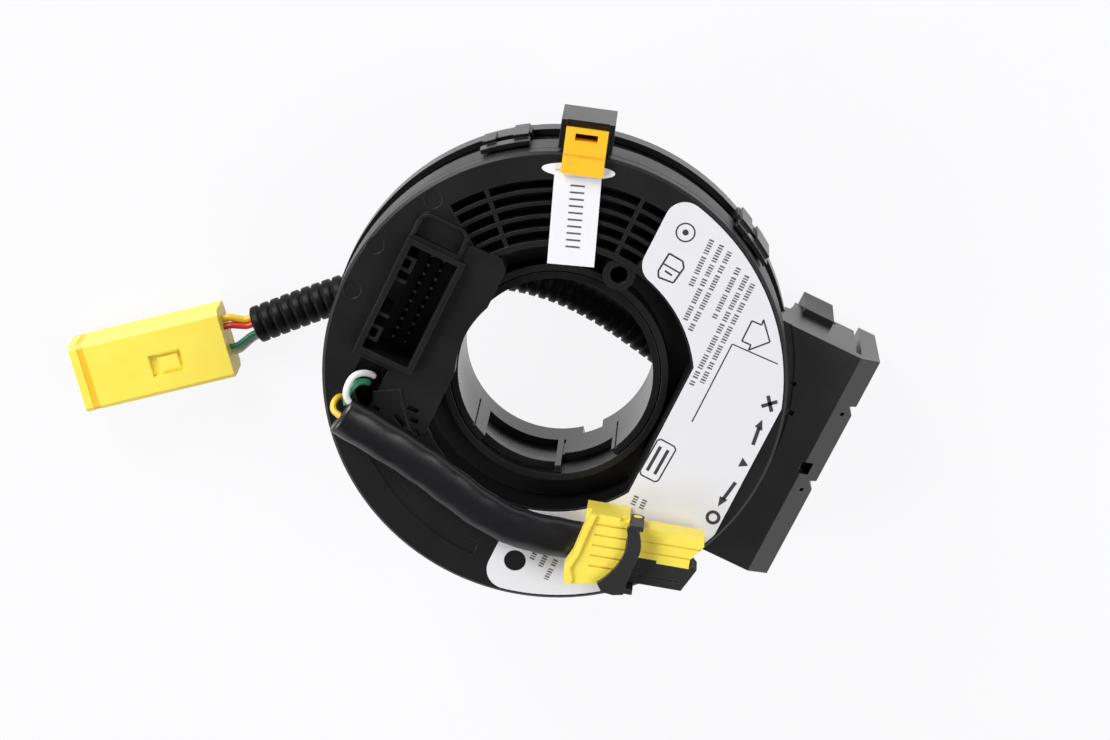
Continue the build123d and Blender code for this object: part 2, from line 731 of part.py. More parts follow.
# ---- Housing of the harness connectors ----
housing_top = skirt_bottom - housing_top_gap
slope_y = housing_far - housing_slope_y
slope_z = housing_top - housing_slope_z
apron_near = housing_far - apron_wall
slot_near = apron_near - apron_slot
harness_y = housing_near + harness_inset
harness_near = harness_y - harness_width / 2
harness_far = harness_y + harness_width / 2
sockets = {"a": (harness_a_left, harness_a_right), "b": (harness_b_left, harness_b_right)}
with BuildPart() as connector_housing:
    with BuildSketch(Plane.YZ.offset(housing_left)):
        with BuildLine():
            Polyline(
                (housing_near - 4, housing_top), (slope_y, housing_top), (housing_far, slope_z),
                (housing_far - 0.5, apron_bottom), (apron_near, apron_bottom),
                (apron_near, housing_top - apron_slot_depth), (slot_near, housing_top - apron_slot_depth),
                (slot_near, housing_floor), (housing_near + 1.4, housing_floor), (housing_near, 0),
                (housing_near - 4, cover_thickness), close=True)
        make_face()
    extrude(amount=housing_right - housing_left)
    disc(case_radius + seat_gap, flange_height, face, Mode.SUBTRACT)
    disc(cover_radius + seat_gap, -seat_gap, flange_height + seat_gap, Mode.SUBTRACT)
    for left, right in sockets.values():
        bar(left - seat_gap, right + seat_gap, harness_near - seat_gap, harness_far + seat_gap,
            housing_floor, harness_top, Mode.SUBTRACT)
        bar(left - seat_gap, right + harness_flange + seat_gap, harness_near - seat_gap,
            harness_far + harness_flange + seat_gap, housing_floor, housing_floor + harness_flange, Mode.SUBTRACT)
    ring(case_radius + seat_gap - 1, cover_radius + 1.4, housing_top - shallow, housing_top, Mode.SUBTRACT)
    # Latch window, ramp notches and moulded slots in the top
    bar(latch_window_x, latch_window_x + latch_window_width, slope_y - latch_window_reach, slope_y + 2.0,
        slope_z - 2.0, housing_top, Mode.SUBTRACT)
    with BuildSketch(Plane.XY.offset(housing_top)):
        with Locations(*[(hole_x, slope_y + housing_slope_y / 2) for hole_x in slope_holes]):
            Circle(slope_hole)
    extrude(amount=-housing_slope_z, mode=Mode.SUBTRACT)
    for notch_left in ramp_notches:
        prism([(notch_left, housing_far + 1), (notch_left + 0.4, housing_far - ramp_notch_reach),
               (notch_left + ramp_notch_width, housing_far + 1)], slope_z - 6, housing_top, Mode.SUBTRACT)
    for slot_left, slot_setback, slot_width, slot_length in top_slots:
        bar(slot_left, slot_left + slot_width, slope_y - slot_setback, slope_y - slot_setback + slot_length,
            housing_top - top_slot_depth, housing_top, Mode.SUBTRACT)
connector_housing.part.label = "connector_housing"
export_step(connector_housing.part, "parts/connector_housing.step")

# ---- Plate that closes the housing from below ----
plate_under = housing_floor - block_cover_thickness
with BuildPart() as block_cover:
    bar(housing_left, housing_right, housing_near + 1.4, slot_near, plate_under, housing_floor)
    for left, right in sockets.values():
        bar(left - seat_gap, right + seat_gap, harness_near - seat_gap, harness_far + seat_gap,
            plate_under, housing_floor, Mode.SUBTRACT)
block_cover.part.label = "block_cover"
export_step(block_cover.part, "parts/block_cover.step")

# ---- Harness sockets, with their mouths down, and their pins ----
harness_ceiling = rest_level + harness_depth
for side, (left, right) in sockets.items():
    with BuildPart() as harness_socket:
        bar(left, right, harness_near, harness_far, rest_level, harness_top)
        bar(left + harness_wall, right - harness_wall, harness_near + harness_wall, harness_far - harness_wall,
            rest_level, harness_ceiling, Mode.SUBTRACT)
        bar(right, right + harness_flange, harness_near, harness_far, housing_floor, housing_floor + harness_flange)
        bar(left + 3, right + harness_flange, harness_far, harness_far + harness_flange,
            housing_floor, housing_floor + harness_flange)
    harness_socket.part.label = "harness_socket_" + side
    export_step(harness_socket.part, f"parts/harness_socket_{side}.step")
    pins = int((right - left - 2 * harness_wall - harness_pin_margin) / harness_pin_pitch)
    with BuildPart() as harness_pins:
        with BuildSketch(Plane.XY.offset(harness_ceiling - harness_pin_height)):
            with Locations(((left + right) / 2, harness_y)):
                with GridLocations(harness_pin_pitch, harness_pin_pitch, pins, 2):
                    Rectangle(harness_pin, harness_pin)
        extrude(amount=harness_pin_height)
    harness_pins.part.label = "harness_pins_" + side
    export_step(harness_pins.part, f"parts/harness_pins_{side}.step")

# ---- Wound ribbon cable, as its outer shape ----
with BuildPart() as flat_cable:
    ring(ribbon_inner, ribbon_outer, cover_thickness + ribbon_lift, ribbon_top)
flat_cable.part.label = "flat_cable"
export_step(flat_cable.part, "parts/flat_cable.step")

# ---- Corrugated conduit behind the part ----
conduit_level = rest_level + conduit_radius
conduit_path = [(x, y, conduit_level) for x, y in conduit_points]


def aim(start, end):
    """Give the unit vector from one point to another."""
    return (Vector(*end) - Vector(*start)).normalized()


with BuildPart() as conduit:
    with BuildLine() as conduit_line:
        FilletPolyline(*conduit_path, radius=corner_radii(conduit_path, "conduit"))
    with BuildSketch(Plane(origin=conduit_path[0], z_dir=aim(conduit_path[0], conduit_path[1]))):
        Circle(conduit_radius)
    sweep()
check_tube(conduit, pi * conduit_radius**2, conduit_line.wires()[0].length, "conduit")
conduit.part.label = "conduit"
export_step(conduit.part, "parts/conduit.step")

# ---- Gland that grips the conduit under the housing ----
gland_out = aim(conduit_path[1], conduit_path[0])
gland_plane = Plane(origin=conduit_path[0], x_dir=(-gland_out.Y, gland_out.X, 0), z_dir=gland_out)
gland_height = plate_under - rest_level
with BuildPart() as conduit_gland:
    with BuildSketch(gland_plane):
        with Locations((0, -conduit_radius + gland_height / 2)):
            Rectangle(gland_width, gland_height)
    extrude(amount=gland_length)
    fillet(conduit_gland.edges().filter_by(Axis.Z), 1.0)
conduit_gland.part.label = "conduit_gland"
export_step(conduit_gland.part, "parts/conduit_gland.step")

# ---- Plug of the pigtail ----
plug_base = rest_level
plug_out = Vector(cos(radians(plug_angle)), sin(radians(plug_angle)), 0)
plug_plane = Plane(origin=(plug_x, plug_y, plug_base), x_dir=plug_out)
retainer_left = plug_length - retainer_setback - retainer_width
retainer_middle = plug_length - retainer_setback - retainer_width / 2
with BuildPart() as plug_housing:
    with BuildSketch(plug_plane):
        with Locations((plug_length / 2, 0)):
            Rectangle(plug_length, plug_width)
    extrude(amount=plug_height)
    long_edges = plug_housing.edges().filter_by(lambda e: abs(e.tangent_at(0).dot(plug_out)) > 0.99)
    chamfer(long_edges, plug_chamfer)
    with BuildSketch(plug_plane.offset(plug_wall)):
        with Locations((plug_length - plug_mouth_depth / 2, 0)):
            Rectangle(plug_mouth_depth, plug_width - 2 * plug_wall)
    extrude(amount=plug_height - 2 * plug_wall, mode=Mode.SUBTRACT)
    # Groove round the mouth for the retainer
    with BuildSketch(Plane(origin=plug_plane.from_local_coords((retainer_left, 0, plug_height / 2)),
                           x_dir=plug_plane.y_dir, z_dir=plug_out)):
        Rectangle(plug_width + 1, plug_height + 1)
        Rectangle(plug_width - 2 * retainer_depth, plug_height - 2 * retainer_depth, mode=Mode.SUBTRACT)
    extrude(amount=retainer_width, mode=Mode.SUBTRACT)
    with BuildSketch(plug_plane.offset(plug_height)):
        with Locations((latch_x, latch_y)):
            Rectangle(latch_length, latch_width)
    extrude(amount=-latch_recess, mode=Mode.SUBTRACT)
    with BuildSketch(plug_plane.offset(plug_height - latch_recess)):
        with Locations((latch_x - latch_step, latch_y)):
            Rectangle(latch_length - 3.0, latch_width - 2.0)
    extrude(amount=latch_recess - latch_step)
plug_housing.part.label = "plug_housing"
export_step(plug_housing.part, "parts/plug_housing.step")

with BuildPart() as plug_retainer:
    with BuildSketch(Plane(origin=plug_plane.from_local_coords((retainer_left, 0, plug_height / 2)),
                           x_dir=plug_plane.y_dir, z_dir=plug_out)):
        Rectangle(plug_width - 2 * retainer_inset, plug_height - 2 * retainer_inset)
        chamfer(vertices(), plug_chamfer - retainer_inset)
        Rectangle(plug_width - 2 * retainer_depth, plug_height - 2 * retainer_depth, mode=Mode.SUBTRACT)
    extrude(amount=retainer_width)
plug_retainer.part.label = "plug_retainer"
export_step(plug_retainer.part, "parts/plug_retainer.step")

with BuildPart() as plug_pins_block:
    with BuildSketch(plug_plane.offset(plug_height / 2 - 0.4)):
        with Locations((plug_length - plug_mouth_depth + plug_pin_length / 2, 0)):
            with GridLocations(1, plug_pin_pitch, 1, plug_pins):
                Rectangle(plug_pin_length, 0.8)
    extrude(amount=0.8)
plug_pins_block.part.label = "plug_pins"
export_step(plug_pins_block.part, "parts/plug_pins.step")

# ---- Wires between the conduit and the plug ----
conduit_end = Vector(*conduit_path[-1])
conduit_out = aim(conduit_path[-2], conduit_path[-1])
conduit_side = Vector(conduit_out.Y, -conduit_out.X, 0)
plug_face = Vector(plug_x, plug_y, conduit_level)
plug_side = Vector(plug_out.Y, -plug_out.X, 0)
for colour, (wire_radius, start_across, end_across, up) in wires.items():
    wire_start = conduit_end + conduit_side * start_across + Vector(0, 0, up)
    wire_end = plug_face + plug_side * end_across + Vector(0, 0, up + wire_rise)
    wire_path = [wire_start, wire_start + conduit_out * wire_run, wire_end - plug_out * wire_run, wire_end]
    wire_path = [tuple(point) for point in wire_path]
    with BuildPart() as wire:
        with BuildLine() as wire_line:
            FilletPolyline(*wire_path, radius=corner_radii(wire_path, "wire_" + colour))
        with BuildSketch(Plane(origin=wire_start, z_dir=conduit_out)):
            Circle(wire_radius)
        sweep()
    check_tube(wire, pi * wire_radius**2, wire_line.wires()[0].length, "wire_" + colour)
    print("wire_" + colour, [tuple(round(value, 2) for value in point) for point in wire_path])
    wire.part.label = "wire_" + colour
    export_step(wire.part, f"parts/wire_{colour}.step")

# ---- Airbag lead: wires in a flattened shrink sleeve on the rotor ----
lead_radii = corner_radii(lead_points, "lead")
with BuildPart() as airbag_lead:
    with BuildLine() as lead_line:
        FilletPolyline(*lead_points, radius=lead_radii)
    lead_out = aim(lead_points[0], lead_points[1])
    with BuildSketch(Plane(origin=lead_points[0], x_dir=(lead_out.Y, -lead_out.X, 0), z_dir=lead_out)):
        Ellipse(lead_width / 2, lead_height / 2)
    sweep()
check_tube(airbag_lead, pi * lead_width * lead_height / 4, lead_line.wires()[0].length, "airbag_lead")
airbag_lead.part.label = "airbag_lead"
export_step(airbag_lead.part, "parts/airbag_lead.step")

# ---- Wires that rise from the pocket and enter the lead ----
for colour, wire_points in lead_wires.items():
    wire_foot = (*lead_wire_starts[colour], pocket_level + lead_wire_seat)
    wire_path = [wire_foot, *wire_points]
    with BuildPart() as lead_wire:
        with BuildLine() as wire_line:
            FilletPolyline(*wire_path, radius=corner_radii(wire_path, "lead_wire_" + colour))
        with BuildSketch(Plane(origin=wire_foot, z_dir=aim(wire_foot, wire_path[1]))):
            Circle(lead_wire_radius)
        sweep()
    check_tube(lead_wire, pi * lead_wire_radius**2, wire_line.wires()[0].length, "lead_wire_" + colour)
    lead_wire.part.label = "lead_wire_" + colour
    export_step(lead_wire.part, f"parts/lead_wire_{colour}.step")

# ---- Airbag connector at the end of the lead ----
axis = radians(connector_angle)
connector_out = Vector(cos(axis), sin(axis), 0)
connector_side = Vector(sin(axis), -cos(axis), 0)
connector_plane = Plane(origin=(connector_x, connector_y, face), x_dir=connector_side)
block_under = connector_base
block_top = connector_base + block_height
hood_under = block_top - hood_drop
hood_edge = [
    (hood_left, -hood_rear_left), (hood_left + 4.0, -hood_rear_left - 1.2), (block_right - 4.9, 1.4 - hood_rear),
    (hood_flare - 4.0, -hood_rear), (hood_flare - 0.4, 0.5 - hood_rear), (hood_flare, 1.8 - hood_rear),
]
with BuildPart() as connector_block:
    with BuildSketch(connector_plane.offset(block_under)):
        with BuildLine():
            Polyline(
                (block_left, 0), (block_right, 0), (block_right, -block_rear), (block_left, -block_rear),
                close=True)
        make_face()
    extrude(amount=block_height - hood_drop)
    # Hood that reaches back over the lead, with a flared rear edge and a raised rim along it
    with BuildSketch(connector_plane.offset(hood_under)):
        with BuildLine():
            Polyline((hood_left, 0), *hood_edge, (block_right, 0), close=True)
        make_face()
    extrude(amount=hood_drop)
    with BuildSketch(connector_plane.offset(block_top)):
        with BuildLine():
            Polyline(*hood_edge, (hood_flare - rim_width, 2.4 - hood_rear),
                     *[(u, v + 1.2 * rim_width) for u, v in reversed(hood_edge[:4])], close=True)
        make_face()
    extrude(amount=rim_rise)
    with BuildSketch(connector_plane.offset(block_top)):
        with Locations(((block_left + block_right) / 2 - 0.4, -block_groove_length / 2)):
            with GridLocations(block_groove_pitch, 1, block_grooves, 1):
                Rectangle(block_groove, block_groove_length)
    extrude(amount=-block_groove_depth, mode=Mode.SUBTRACT)
    with BuildSketch(connector_plane.offset(block_top)):
        with Locations((hood_left + block_slot / 2, -block_slot_length / 2 - 0.2)):
            Rectangle(block_slot, block_slot_length)
    extrude(amount=-2 * block_slot, mode=Mode.SUBTRACT)
connector_block.part.label = "connector_block"
export_step(connector_block.part, "parts/connector_block.step")

lever_y = lever_gap + lever_width / 2
lever_left = nose_left - lever_gap - lever_side
lever_right = arm_right + lever_gap + lever_side
lever_origin = connector_plane.from_local_coords((0, lever_y, lever_pivot_rise))
lever_pivot_plane = Plane(origin=lever_origin, x_dir=connector_out, z_dir=connector_side)
print("lever pivot", [round(value, 3) for value in lever_origin], "axis", [round(v, 5) for v in connector_side])

with BuildPart() as connector_nose:
    with BuildSketch(connector_plane.offset(connector_lift)):
        with BuildLine():
            Polyline(
                (nose_left, 0), (nose_right, 0), (nose_right, nose_step_start),
                (nose_right + nose_step, nose_step_start), (nose_right + nose_step, nose_short),
                (nose_left + 5.5, nose_short), (nose_left + 2.1, nose_length + 0.4),
                (nose_left, nose_length), close=True)
        make_face()
    extrude(amount=nose_top - connector_lift)
    with BuildSketch(connector_plane.offset(nose_top)):
        for groove_step in nose_grooves:
            with Locations((nose_left + groove_step, (nose_length + lever_width) / 2)):
                Rectangle(nose_groove, nose_length - lever_width)
    extrude(amount=-nose_groove, mode=Mode.SUBTRACT)
    with BuildSketch(lever_pivot_plane.offset(nose_left)):
        Circle(lever_pivot)
    extrude(amount=-lever_gap - lever_side)
connector_nose.part.label = "connector_nose"
export_step(connector_nose.part, "parts/connector_nose.step")

arm_left = nose_right + nose_step
with BuildPart() as connector_arm:
    with BuildSketch(connector_plane.offset(connector_lift)):
        with BuildLine():
            Polyline(
                (nose_right, 0), (arm_right, 0), (arm_right, arm_tip), (arm_left, hook_length),
                (arm_left - hook_reach, hook_length - 1.0), (arm_left, nose_short), (arm_left, nose_step_start),
                (nose_right, nose_step_start), close=True)
        make_face()
    extrude(amount=nose_top - connector_lift)
    with BuildSketch(connector_plane.offset(nose_top)):
        with Locations((arm_groove, (arm_tip + lever_width) / 2)):
            Rectangle(nose_groove, arm_tip - lever_width - 1.5)
    extrude(amount=-nose_groove, mode=Mode.SUBTRACT)
    with BuildSketch(lever_pivot_plane.offset(arm_right)):
        Circle(lever_pivot)
    extrude(amount=lever_gap + lever_side)
connector_arm.part.label = "connector_arm"
export_step(connector_arm.part, "parts/connector_arm.step")

# ---- Release lever: a bail that swings over the nose ----
with BuildPart() as connector_lever:
    # Two arms with ends rounded about the pivot
    for side_left in (lever_left, lever_right - lever_side):
        with BuildSketch(lever_pivot_plane.offset(side_left)):
            Circle(lever_width / 2)
            with Locations((0, (lever_top - lever_pivot_rise) / 2)):
                Rectangle(lever_width, lever_top - lever_pivot_rise)
        extrude(amount=lever_side)
    # The strap bows over the nose and sweeps back over the block at the outer end
    with BuildSketch(connector_plane.offset(lever_top - lever_thickness)):
        with BuildLine():
            front = Spline((lever_left, lever_gap + 1.8), *strap_front)
            rear = Spline((lever_left + lever_side, -0.4), *strap_rear)
            Polyline(front @ 0, (lever_left, lever_gap), rear @ 0)
            Polyline(front @ 1, *strap_tail, rear @ 1)
        make_face()
        with Locations((lever_right - lever_side / 2, lever_y)):
            Rectangle(lever_side, lever_width)
        with Locations((lever_left + lever_side / 2, lever_y)):
            Rectangle(lever_side, lever_width)
    extrude(amount=lever_thickness)
    with BuildSketch(lever_pivot_plane):
        Circle(lever_pivot + running_gap)
    extrude(amount=lever_right - lever_left + 2, both=True, mode=Mode.SUBTRACT)
connector_lever.part.label = "connector_lever"
export_step(connector_lever.part, "parts/connector_lever.step")
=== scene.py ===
import math

import bmesh
import bpy
from bpy.props import FloatProperty, FloatVectorProperty, PointerProperty
from mathutils import Matrix, Vector


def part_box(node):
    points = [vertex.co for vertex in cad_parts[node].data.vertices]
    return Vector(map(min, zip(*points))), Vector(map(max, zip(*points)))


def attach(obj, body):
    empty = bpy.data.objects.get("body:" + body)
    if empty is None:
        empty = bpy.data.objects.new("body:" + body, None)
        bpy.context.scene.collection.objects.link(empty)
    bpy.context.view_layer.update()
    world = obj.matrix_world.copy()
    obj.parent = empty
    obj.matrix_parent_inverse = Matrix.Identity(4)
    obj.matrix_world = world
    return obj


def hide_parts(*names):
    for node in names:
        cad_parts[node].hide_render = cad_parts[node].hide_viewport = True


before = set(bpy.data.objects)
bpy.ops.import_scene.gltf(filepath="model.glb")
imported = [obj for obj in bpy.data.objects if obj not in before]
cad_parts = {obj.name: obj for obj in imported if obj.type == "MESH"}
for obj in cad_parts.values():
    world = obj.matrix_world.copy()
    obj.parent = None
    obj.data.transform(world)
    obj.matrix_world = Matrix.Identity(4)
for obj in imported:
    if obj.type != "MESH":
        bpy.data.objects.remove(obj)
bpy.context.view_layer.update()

bl_info = {
    "name": "Steering clock spring",
    "version": (1, 0, 0),
    "blender": (4, 5, 0),
    "location": "View3D > Sidebar > Clock spring",
    "description": "Finishes and soft pieces of a steering clock spring, over its CAD frame",
    "category": "Object",
}

# ---- Levels of the CAD frame, in metres ----
MM = 0.001
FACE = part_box("label")[0][2]
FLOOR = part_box("plug_housing")[0][2]
LABEL_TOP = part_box("label")[1][2]
TAG_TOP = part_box("tag")[1][2]
PIN_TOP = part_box("socket_pins")[1][2]

# ---- Paper tag, in millimetres and degrees ----
TAG_START = (-45.8, -16.2)
TAG_ANGLE = 21.3
TAG_LENGTH = 21.6
TAG_WIDTH = 10.5
TAG_WING = 3.4
TAG_WING_LENGTH = 16.3
TAG_WING_TIP = 0.02
TAG_THICKNESS = 0.16
TAG_CURL = 0.25
TAG_ROWS = 16
TAG_WING_ROWS = 20
TAG_BAR_START = 3.4
TAG_BAR_STEP = 1.55
TAG_BAR_COUNT = 10
TAG_BAR_SHIFT = 0.1
TAG_BAR_HALF = 1.6
TAG_BAR_WIDTH = 0.4

# ---- Prints, in millimetres ----
INK_LIFT = 0.02
TAG_INK_LIFT = 0.04
WORD_HEIGHT = 1.15
WORD_END = 0.8
WORD_GAP = 0.5
BAR_WIDTH = 0.26
BAR_SPREAD = 0.16
BAR_GAP = 0.28

# ---- Cords ----
STEPS_PER_RIDGE = 10
RIDGE_SLOPE = 2.6
RIDGE_LIFT = 2.1
CONDUIT_SIDES = 28
LEAD_STEP = 0.0009
LEAD_SIDES = 40
WIRE_SIDES = 20

# ---- Stage, in metres. SWEEP is the floor's profile as (radius, height) ----
IMAGE_WIDTH = 1110
SENSOR_WIDTH = 36.0
CLIP_START = 0.01
CLIP_END = 20.0
SWEEP = ((2.4, 0.0), (2.8, 0.1), (3.0, 0.4), (3.0, 1.6))
SWEEP_SIDES = 48
FLOOR_DROP = 0.0002
FLOOR_GLOW = (0.985, 0.985, 1.0, 1.0)
FLOOR_GLOW_STRENGTH = 0.98
FLOOR_GLOW_SHARE = 0.93
LAMP_AIM = (0, 0, 0.01)
# Name, place seen from the camera, size and share of the main power
LAMPS = (
    ("key_lamp", (-0.55, 0.6, -0.15), 0.5, 1.5),
    ("fill_lamp", (0.6, -0.3, -0.1), 0.6, 0.7),
    ("back_lamp", (-0.75, -0.35, -0.4), 0.35, 0.5),
)

# ---- Sizes of surface textures, in metres ----
EDGE_RADIUS = 0.00022
GRAIN_SIZE = 0.00035
DUST_SIZE = 0.0011
SCRATCH_SIZE = 0.0006
PATCH_SIZE = 0.012
MOULDED_DEPTH = 0.00006
FLOW_SIZE = 0.0016
FLOW_PATCH_SIZE = 0.008
NYLON_GRAIN_SIZE = 0.0004
NYLON_DEPTH = 0.00008
FIBRE_SIZE = 0.0005
WAVE_SIZE = 0.014
FILM_DEPTH = 0.0001
INK_SIZE = 0.0004
DRAWN_SIZE = 0.0002
TIP_START = 0.0007
TIP_FADE = 0.0006
SKIN_SIZE = 0.0005
FOLD_DEPTH = 0.0004


# ---- Sizes and colours a user would change ----
class StageSettings(bpy.types.PropertyGroup):
    """Camera, lamps and backdrop."""
    focal_pixels: FloatProperty(
        name="Focal length", description="Focal length in pixels of the rendered image",
        default=3556.7)
    distance: FloatProperty(
        name="Distance", description="Camera distance",
        default=0.8, unit="LENGTH")
    tilt: FloatProperty(
        name="Tilt", description="Tilt of the part about the view's width",
        default=16.777)
    lean: FloatProperty(
        name="Lean", description="Lean of the part about the view's height",
        default=-2.779)
    spin: FloatProperty(
        name="Spin", description="Turn of the part about its own axis",
        default=-25.84)
    shift_x: FloatProperty(
        name="Offset X", description="Sideways offset",
        default=-0.000185, unit="LENGTH")
    shift_y: FloatProperty(
        name="Offset Y", description="Upward offset",
        default=-0.002103, unit="LENGTH")
    floor_colour: FloatVectorProperty(
        name="Floor", description="Floor colour",
        subtype="COLOR", default=(0.97, 0.97, 0.98))
    ambient: FloatProperty(
        name="Ambient", description="Strength of the surrounding light",
        default=0.13)
    key_power: FloatProperty(
        name="Key lamp", description="Power of the main soft lamp",
        default=7.0, subtype="POWER")


class PlasticSettings(bpy.types.PropertyGroup):
    """Moulded plastics and prints."""
    black: FloatVectorProperty(
        name="Black", description="Moulded black",
        subtype="COLOR", default=(0.0052, 0.005, 0.0052))
    hub: FloatVectorProperty(
        name="Hub", description="Hub sleeve and cover",
        subtype="COLOR", default=(0.0095, 0.009, 0.0098))
    yellow: FloatVectorProperty(
        name="Yellow", description="Connector yellow",
        subtype="COLOR", default=(0.98, 0.84, 0.12))
    orange: FloatVectorProperty(
        name="Orange", description="Transport clip",
        subtype="COLOR", default=(0.98, 0.60, 0.04))
    label: FloatVectorProperty(
        name="Label", description="Label film",
        subtype="COLOR", default=(0.77, 0.77, 0.80))
    ink: FloatVectorProperty(
        name="Ink", description="Printed ink",
        subtype="COLOR", default=(0.025, 0.025, 0.03))


class CableSettings(bpy.types.PropertyGroup):
    """Conduit and lead."""
    conduit_diameter: FloatProperty(
        name="Conduit", description="Outer diameter",
        default=0.0088, unit="LENGTH")
    conduit_pitch: FloatProperty(
        name="Ridge pitch", description="Ridge pitch of the conduit",
        default=0.0026, unit="LENGTH")
    conduit_depth: FloatProperty(
        name="Ridge depth", description="Depth between ridges",
        default=0.0006, unit="LENGTH")
    wire_diameter: FloatProperty(
        name="Pocket wires", description="Outer diameter of a pocket wire",
        default=0.0015, unit="LENGTH")
    lead_width: FloatProperty(
        name="Lead width", description="Width of the flat sleeve",
        default=0.0095, unit="LENGTH")
    lead_height: FloatProperty(
        name="Lead height", description="Height of the flat sleeve",
        default=0.0052, unit="LENGTH")


# ---- Shader maths ----
class Signal:
    """One shader socket. Arithmetic on it adds Math nodes."""

    def __init__(self, finish, socket):
        self.finish = finish
        self.socket = socket

    def maths(self, operation, *values):
        return self.finish.node("ShaderNodeMath", {"operation": operation}, dict(enumerate(values)))

    def __add__(self, other):
        return self.maths("ADD", self, other)

    def __sub__(self, other):
        return self.maths("SUBTRACT", self, other)

    def __rsub__(self, other):
        return self.maths("SUBTRACT", other, self)

    def __mul__(self, other):
        return self.maths("MULTIPLY", self, other)

    def __truediv__(self, other):
        return self.maths("DIVIDE", self, other)

    __radd__ = __add__
    __rmul__ = __mul__

    def clamp(self):
        return self.finish.node("ShaderNodeClamp", {}, {"Value": self})


class Finish:
    """A node material with one Principled shader."""

    def __init__(self, name, **constants):
        self.material = bpy.data.materials.new(name)
        self.material.use_nodes = True
        self.tree = self.material.node_tree
        self.tree.nodes.clear()
        self.output = self.tree.nodes.new("ShaderNodeOutputMaterial")
        self.shader = self.tree.nodes.new("ShaderNodeBsdfPrincipled")
        self.tree.links.new(self.shader.outputs[0], self.output.inputs["Surface"])
        for socket, value in constants.items():
            self.shader.inputs[socket.replace("_", " ")].default_value = value
        self.place = self.node("ShaderNodeTexCoord", {}, {}, "Object")

    def node(self, kind, settings, values, out=0):
        """Add a node: its settings first, then the values or links of its sockets."""
        node = self.tree.nodes.new(kind)
        for name, setting in settings.items():
            setattr(node, name, setting)
        for name, value in values.items():
            if isinstance(value, Signal):
                self.tree.links.new(value.socket, node.inputs[name])
            else:
                node.inputs[name].default_value = value
        return Signal(self, node.outputs[out])

    def noise(self, size, detail=3.0, roughness=0.5, place=None):
        """Noise from 0 to 1 whose blobs are about `size` metres wide."""
        values = {
            "Vector": place or self.place, "Scale": 1.0 / size, "Detail": detail,
            "Roughness": roughness}
        return self.node("ShaderNodeTexNoise", {}, values, "Fac")

    def blend(self, factor, first, second):
        """Mix two colours, each a Signal or a tuple."""
        node = self.tree.nodes.new("ShaderNodeMix")
        node.data_type = "RGBA"
        for index, value in ((0, factor), (6, first), (7, second)):
            if isinstance(value, Signal):
                self.tree.links.new(value.socket, node.inputs[index])
            else:
                node.inputs[index].default_value = value if index == 0 else (*value[:3], 1.0)
        return Signal(self, node.outputs[2])

    def stretched(self, scale, turn=(0, 0, 0)):
        """The place, scaled along its axes after a turn."""
        values = {"Vector": self.place, "Scale": scale, "Rotation": turn}
        return self.node("ShaderNodeMapping", {}, values, "Vector")

    def set(self, **links):
        """Link or set sockets of the shader."""
        for socket, value in links.items():
            target = self.shader.inputs[socket.replace("_", " ")]
            if isinstance(value, Signal):
                self.tree.links.new(value.socket, target)
            else:
                target.default_value = value

    def rounded(self, radius):
        """Normals that run round the sharp edges."""
        return self.node("ShaderNodeBevel", {"samples": 4}, {"Radius": radius}, "Normal")

    def edges(self, radius):
        """1 along the sharp edges and 0 away from them."""
        flat = self.node("ShaderNodeNewGeometry", {}, {}, "True Normal")
        values = {0: self.rounded(radius), 1: flat}
        agreement = self.node("ShaderNodeVectorMath", {"operation": "DOT_PRODUCT"}, values, "Value")
        return ((1.0 - agreement) * 5).clamp()

    def bump(self, height, strength, distance, normal=None):
        """Feed the shader's normal from a height."""
        values = {"Height": height, "Strength": strength, "Distance": distance}
        if normal:
            values["Normal"] = normal
        self.set(Normal=self.node("ShaderNodeBump", {}, values, "Normal"))


def shaded(colour, factor):
    """A darker or lighter copy of a colour."""
    return tuple(min(1.0, part * factor) for part in colour)


def moulded(name, colour, roughness, grain_strength=0.25, scuffs=0.35, gloss=0.4):
    """Injection moulded plastic: grain, handling scuffs, uneven gloss, and a painted highlight that
    makes the sharp edges lighter.
    """
    finish = Finish(name, Specular_IOR_Level=gloss)
    patches = finish.noise(PATCH_SIZE, 4)
    grains = finish.noise(GRAIN_SIZE, 2)
    dust = finish.noise(DUST_SIZE, 5, 0.7)
    scratch = finish.noise(SCRATCH_SIZE, 2, 0.6, finish.stretched((1, 9, 3), (0, 0, 0.6)))
    marks = ((scratch - 0.66) * 6).clamp() * scuffs
    tone = finish.blend(patches, shaded(colour, 0.82), shaded(colour, 1.2))
    speck = ((dust - 0.68) * 8).clamp() * 0.35
    # Painted highlight: along the sharp edges the colour turns up to seven times lighter, as the
    # edges catch the light.
    edge = finish.edges(EDGE_RADIUS)
    tone_with_edge_highlight = finish.blend((edge * 0.5).clamp(), tone, shaded(colour, 7.0))
    finish.set(Base_Color=finish.blend((marks + speck).clamp(), tone_with_edge_highlight, shaded(colour, 2.1)))
    finish.set(Roughness=(patches * 0.16 + marks * 0.3 + (roughness - 0.08)).clamp())
    finish.bump(grains + marks * 0.4, grain_strength, MOULDED_DEPTH, finish.rounded(EDGE_RADIUS))
    return finish.material


def glossy_plastic(name, colour, roughness, deep):
    """Bright nylon: slightly waxy, with flow lines that turn to a deeper colour."""
    finish = Finish(
        name, Subsurface_Weight=0.08, Subsurface_Radius=(0.002, 0.0015, 0.0006),
        Subsurface_Scale=1.0)
    patches = finish.noise(FLOW_PATCH_SIZE, 4)
    flow = finish.noise(FLOW_SIZE, 3, 0.6, finish.stretched((1, 0.25, 1), (0, 0, 0.86)))
    grains = finish.noise(NYLON_GRAIN_SIZE, 2)
    finish.set(Base_Color=finish.blend((patches * 0.7 + flow * 0.3).clamp(), deep, colour))
    finish.set(Roughness=(flow * 0.2 + (roughness - 0.1)).clamp())
    finish.bump(grains * 0.5 + flow, 0.12, NYLON_DEPTH)
    return finish.material


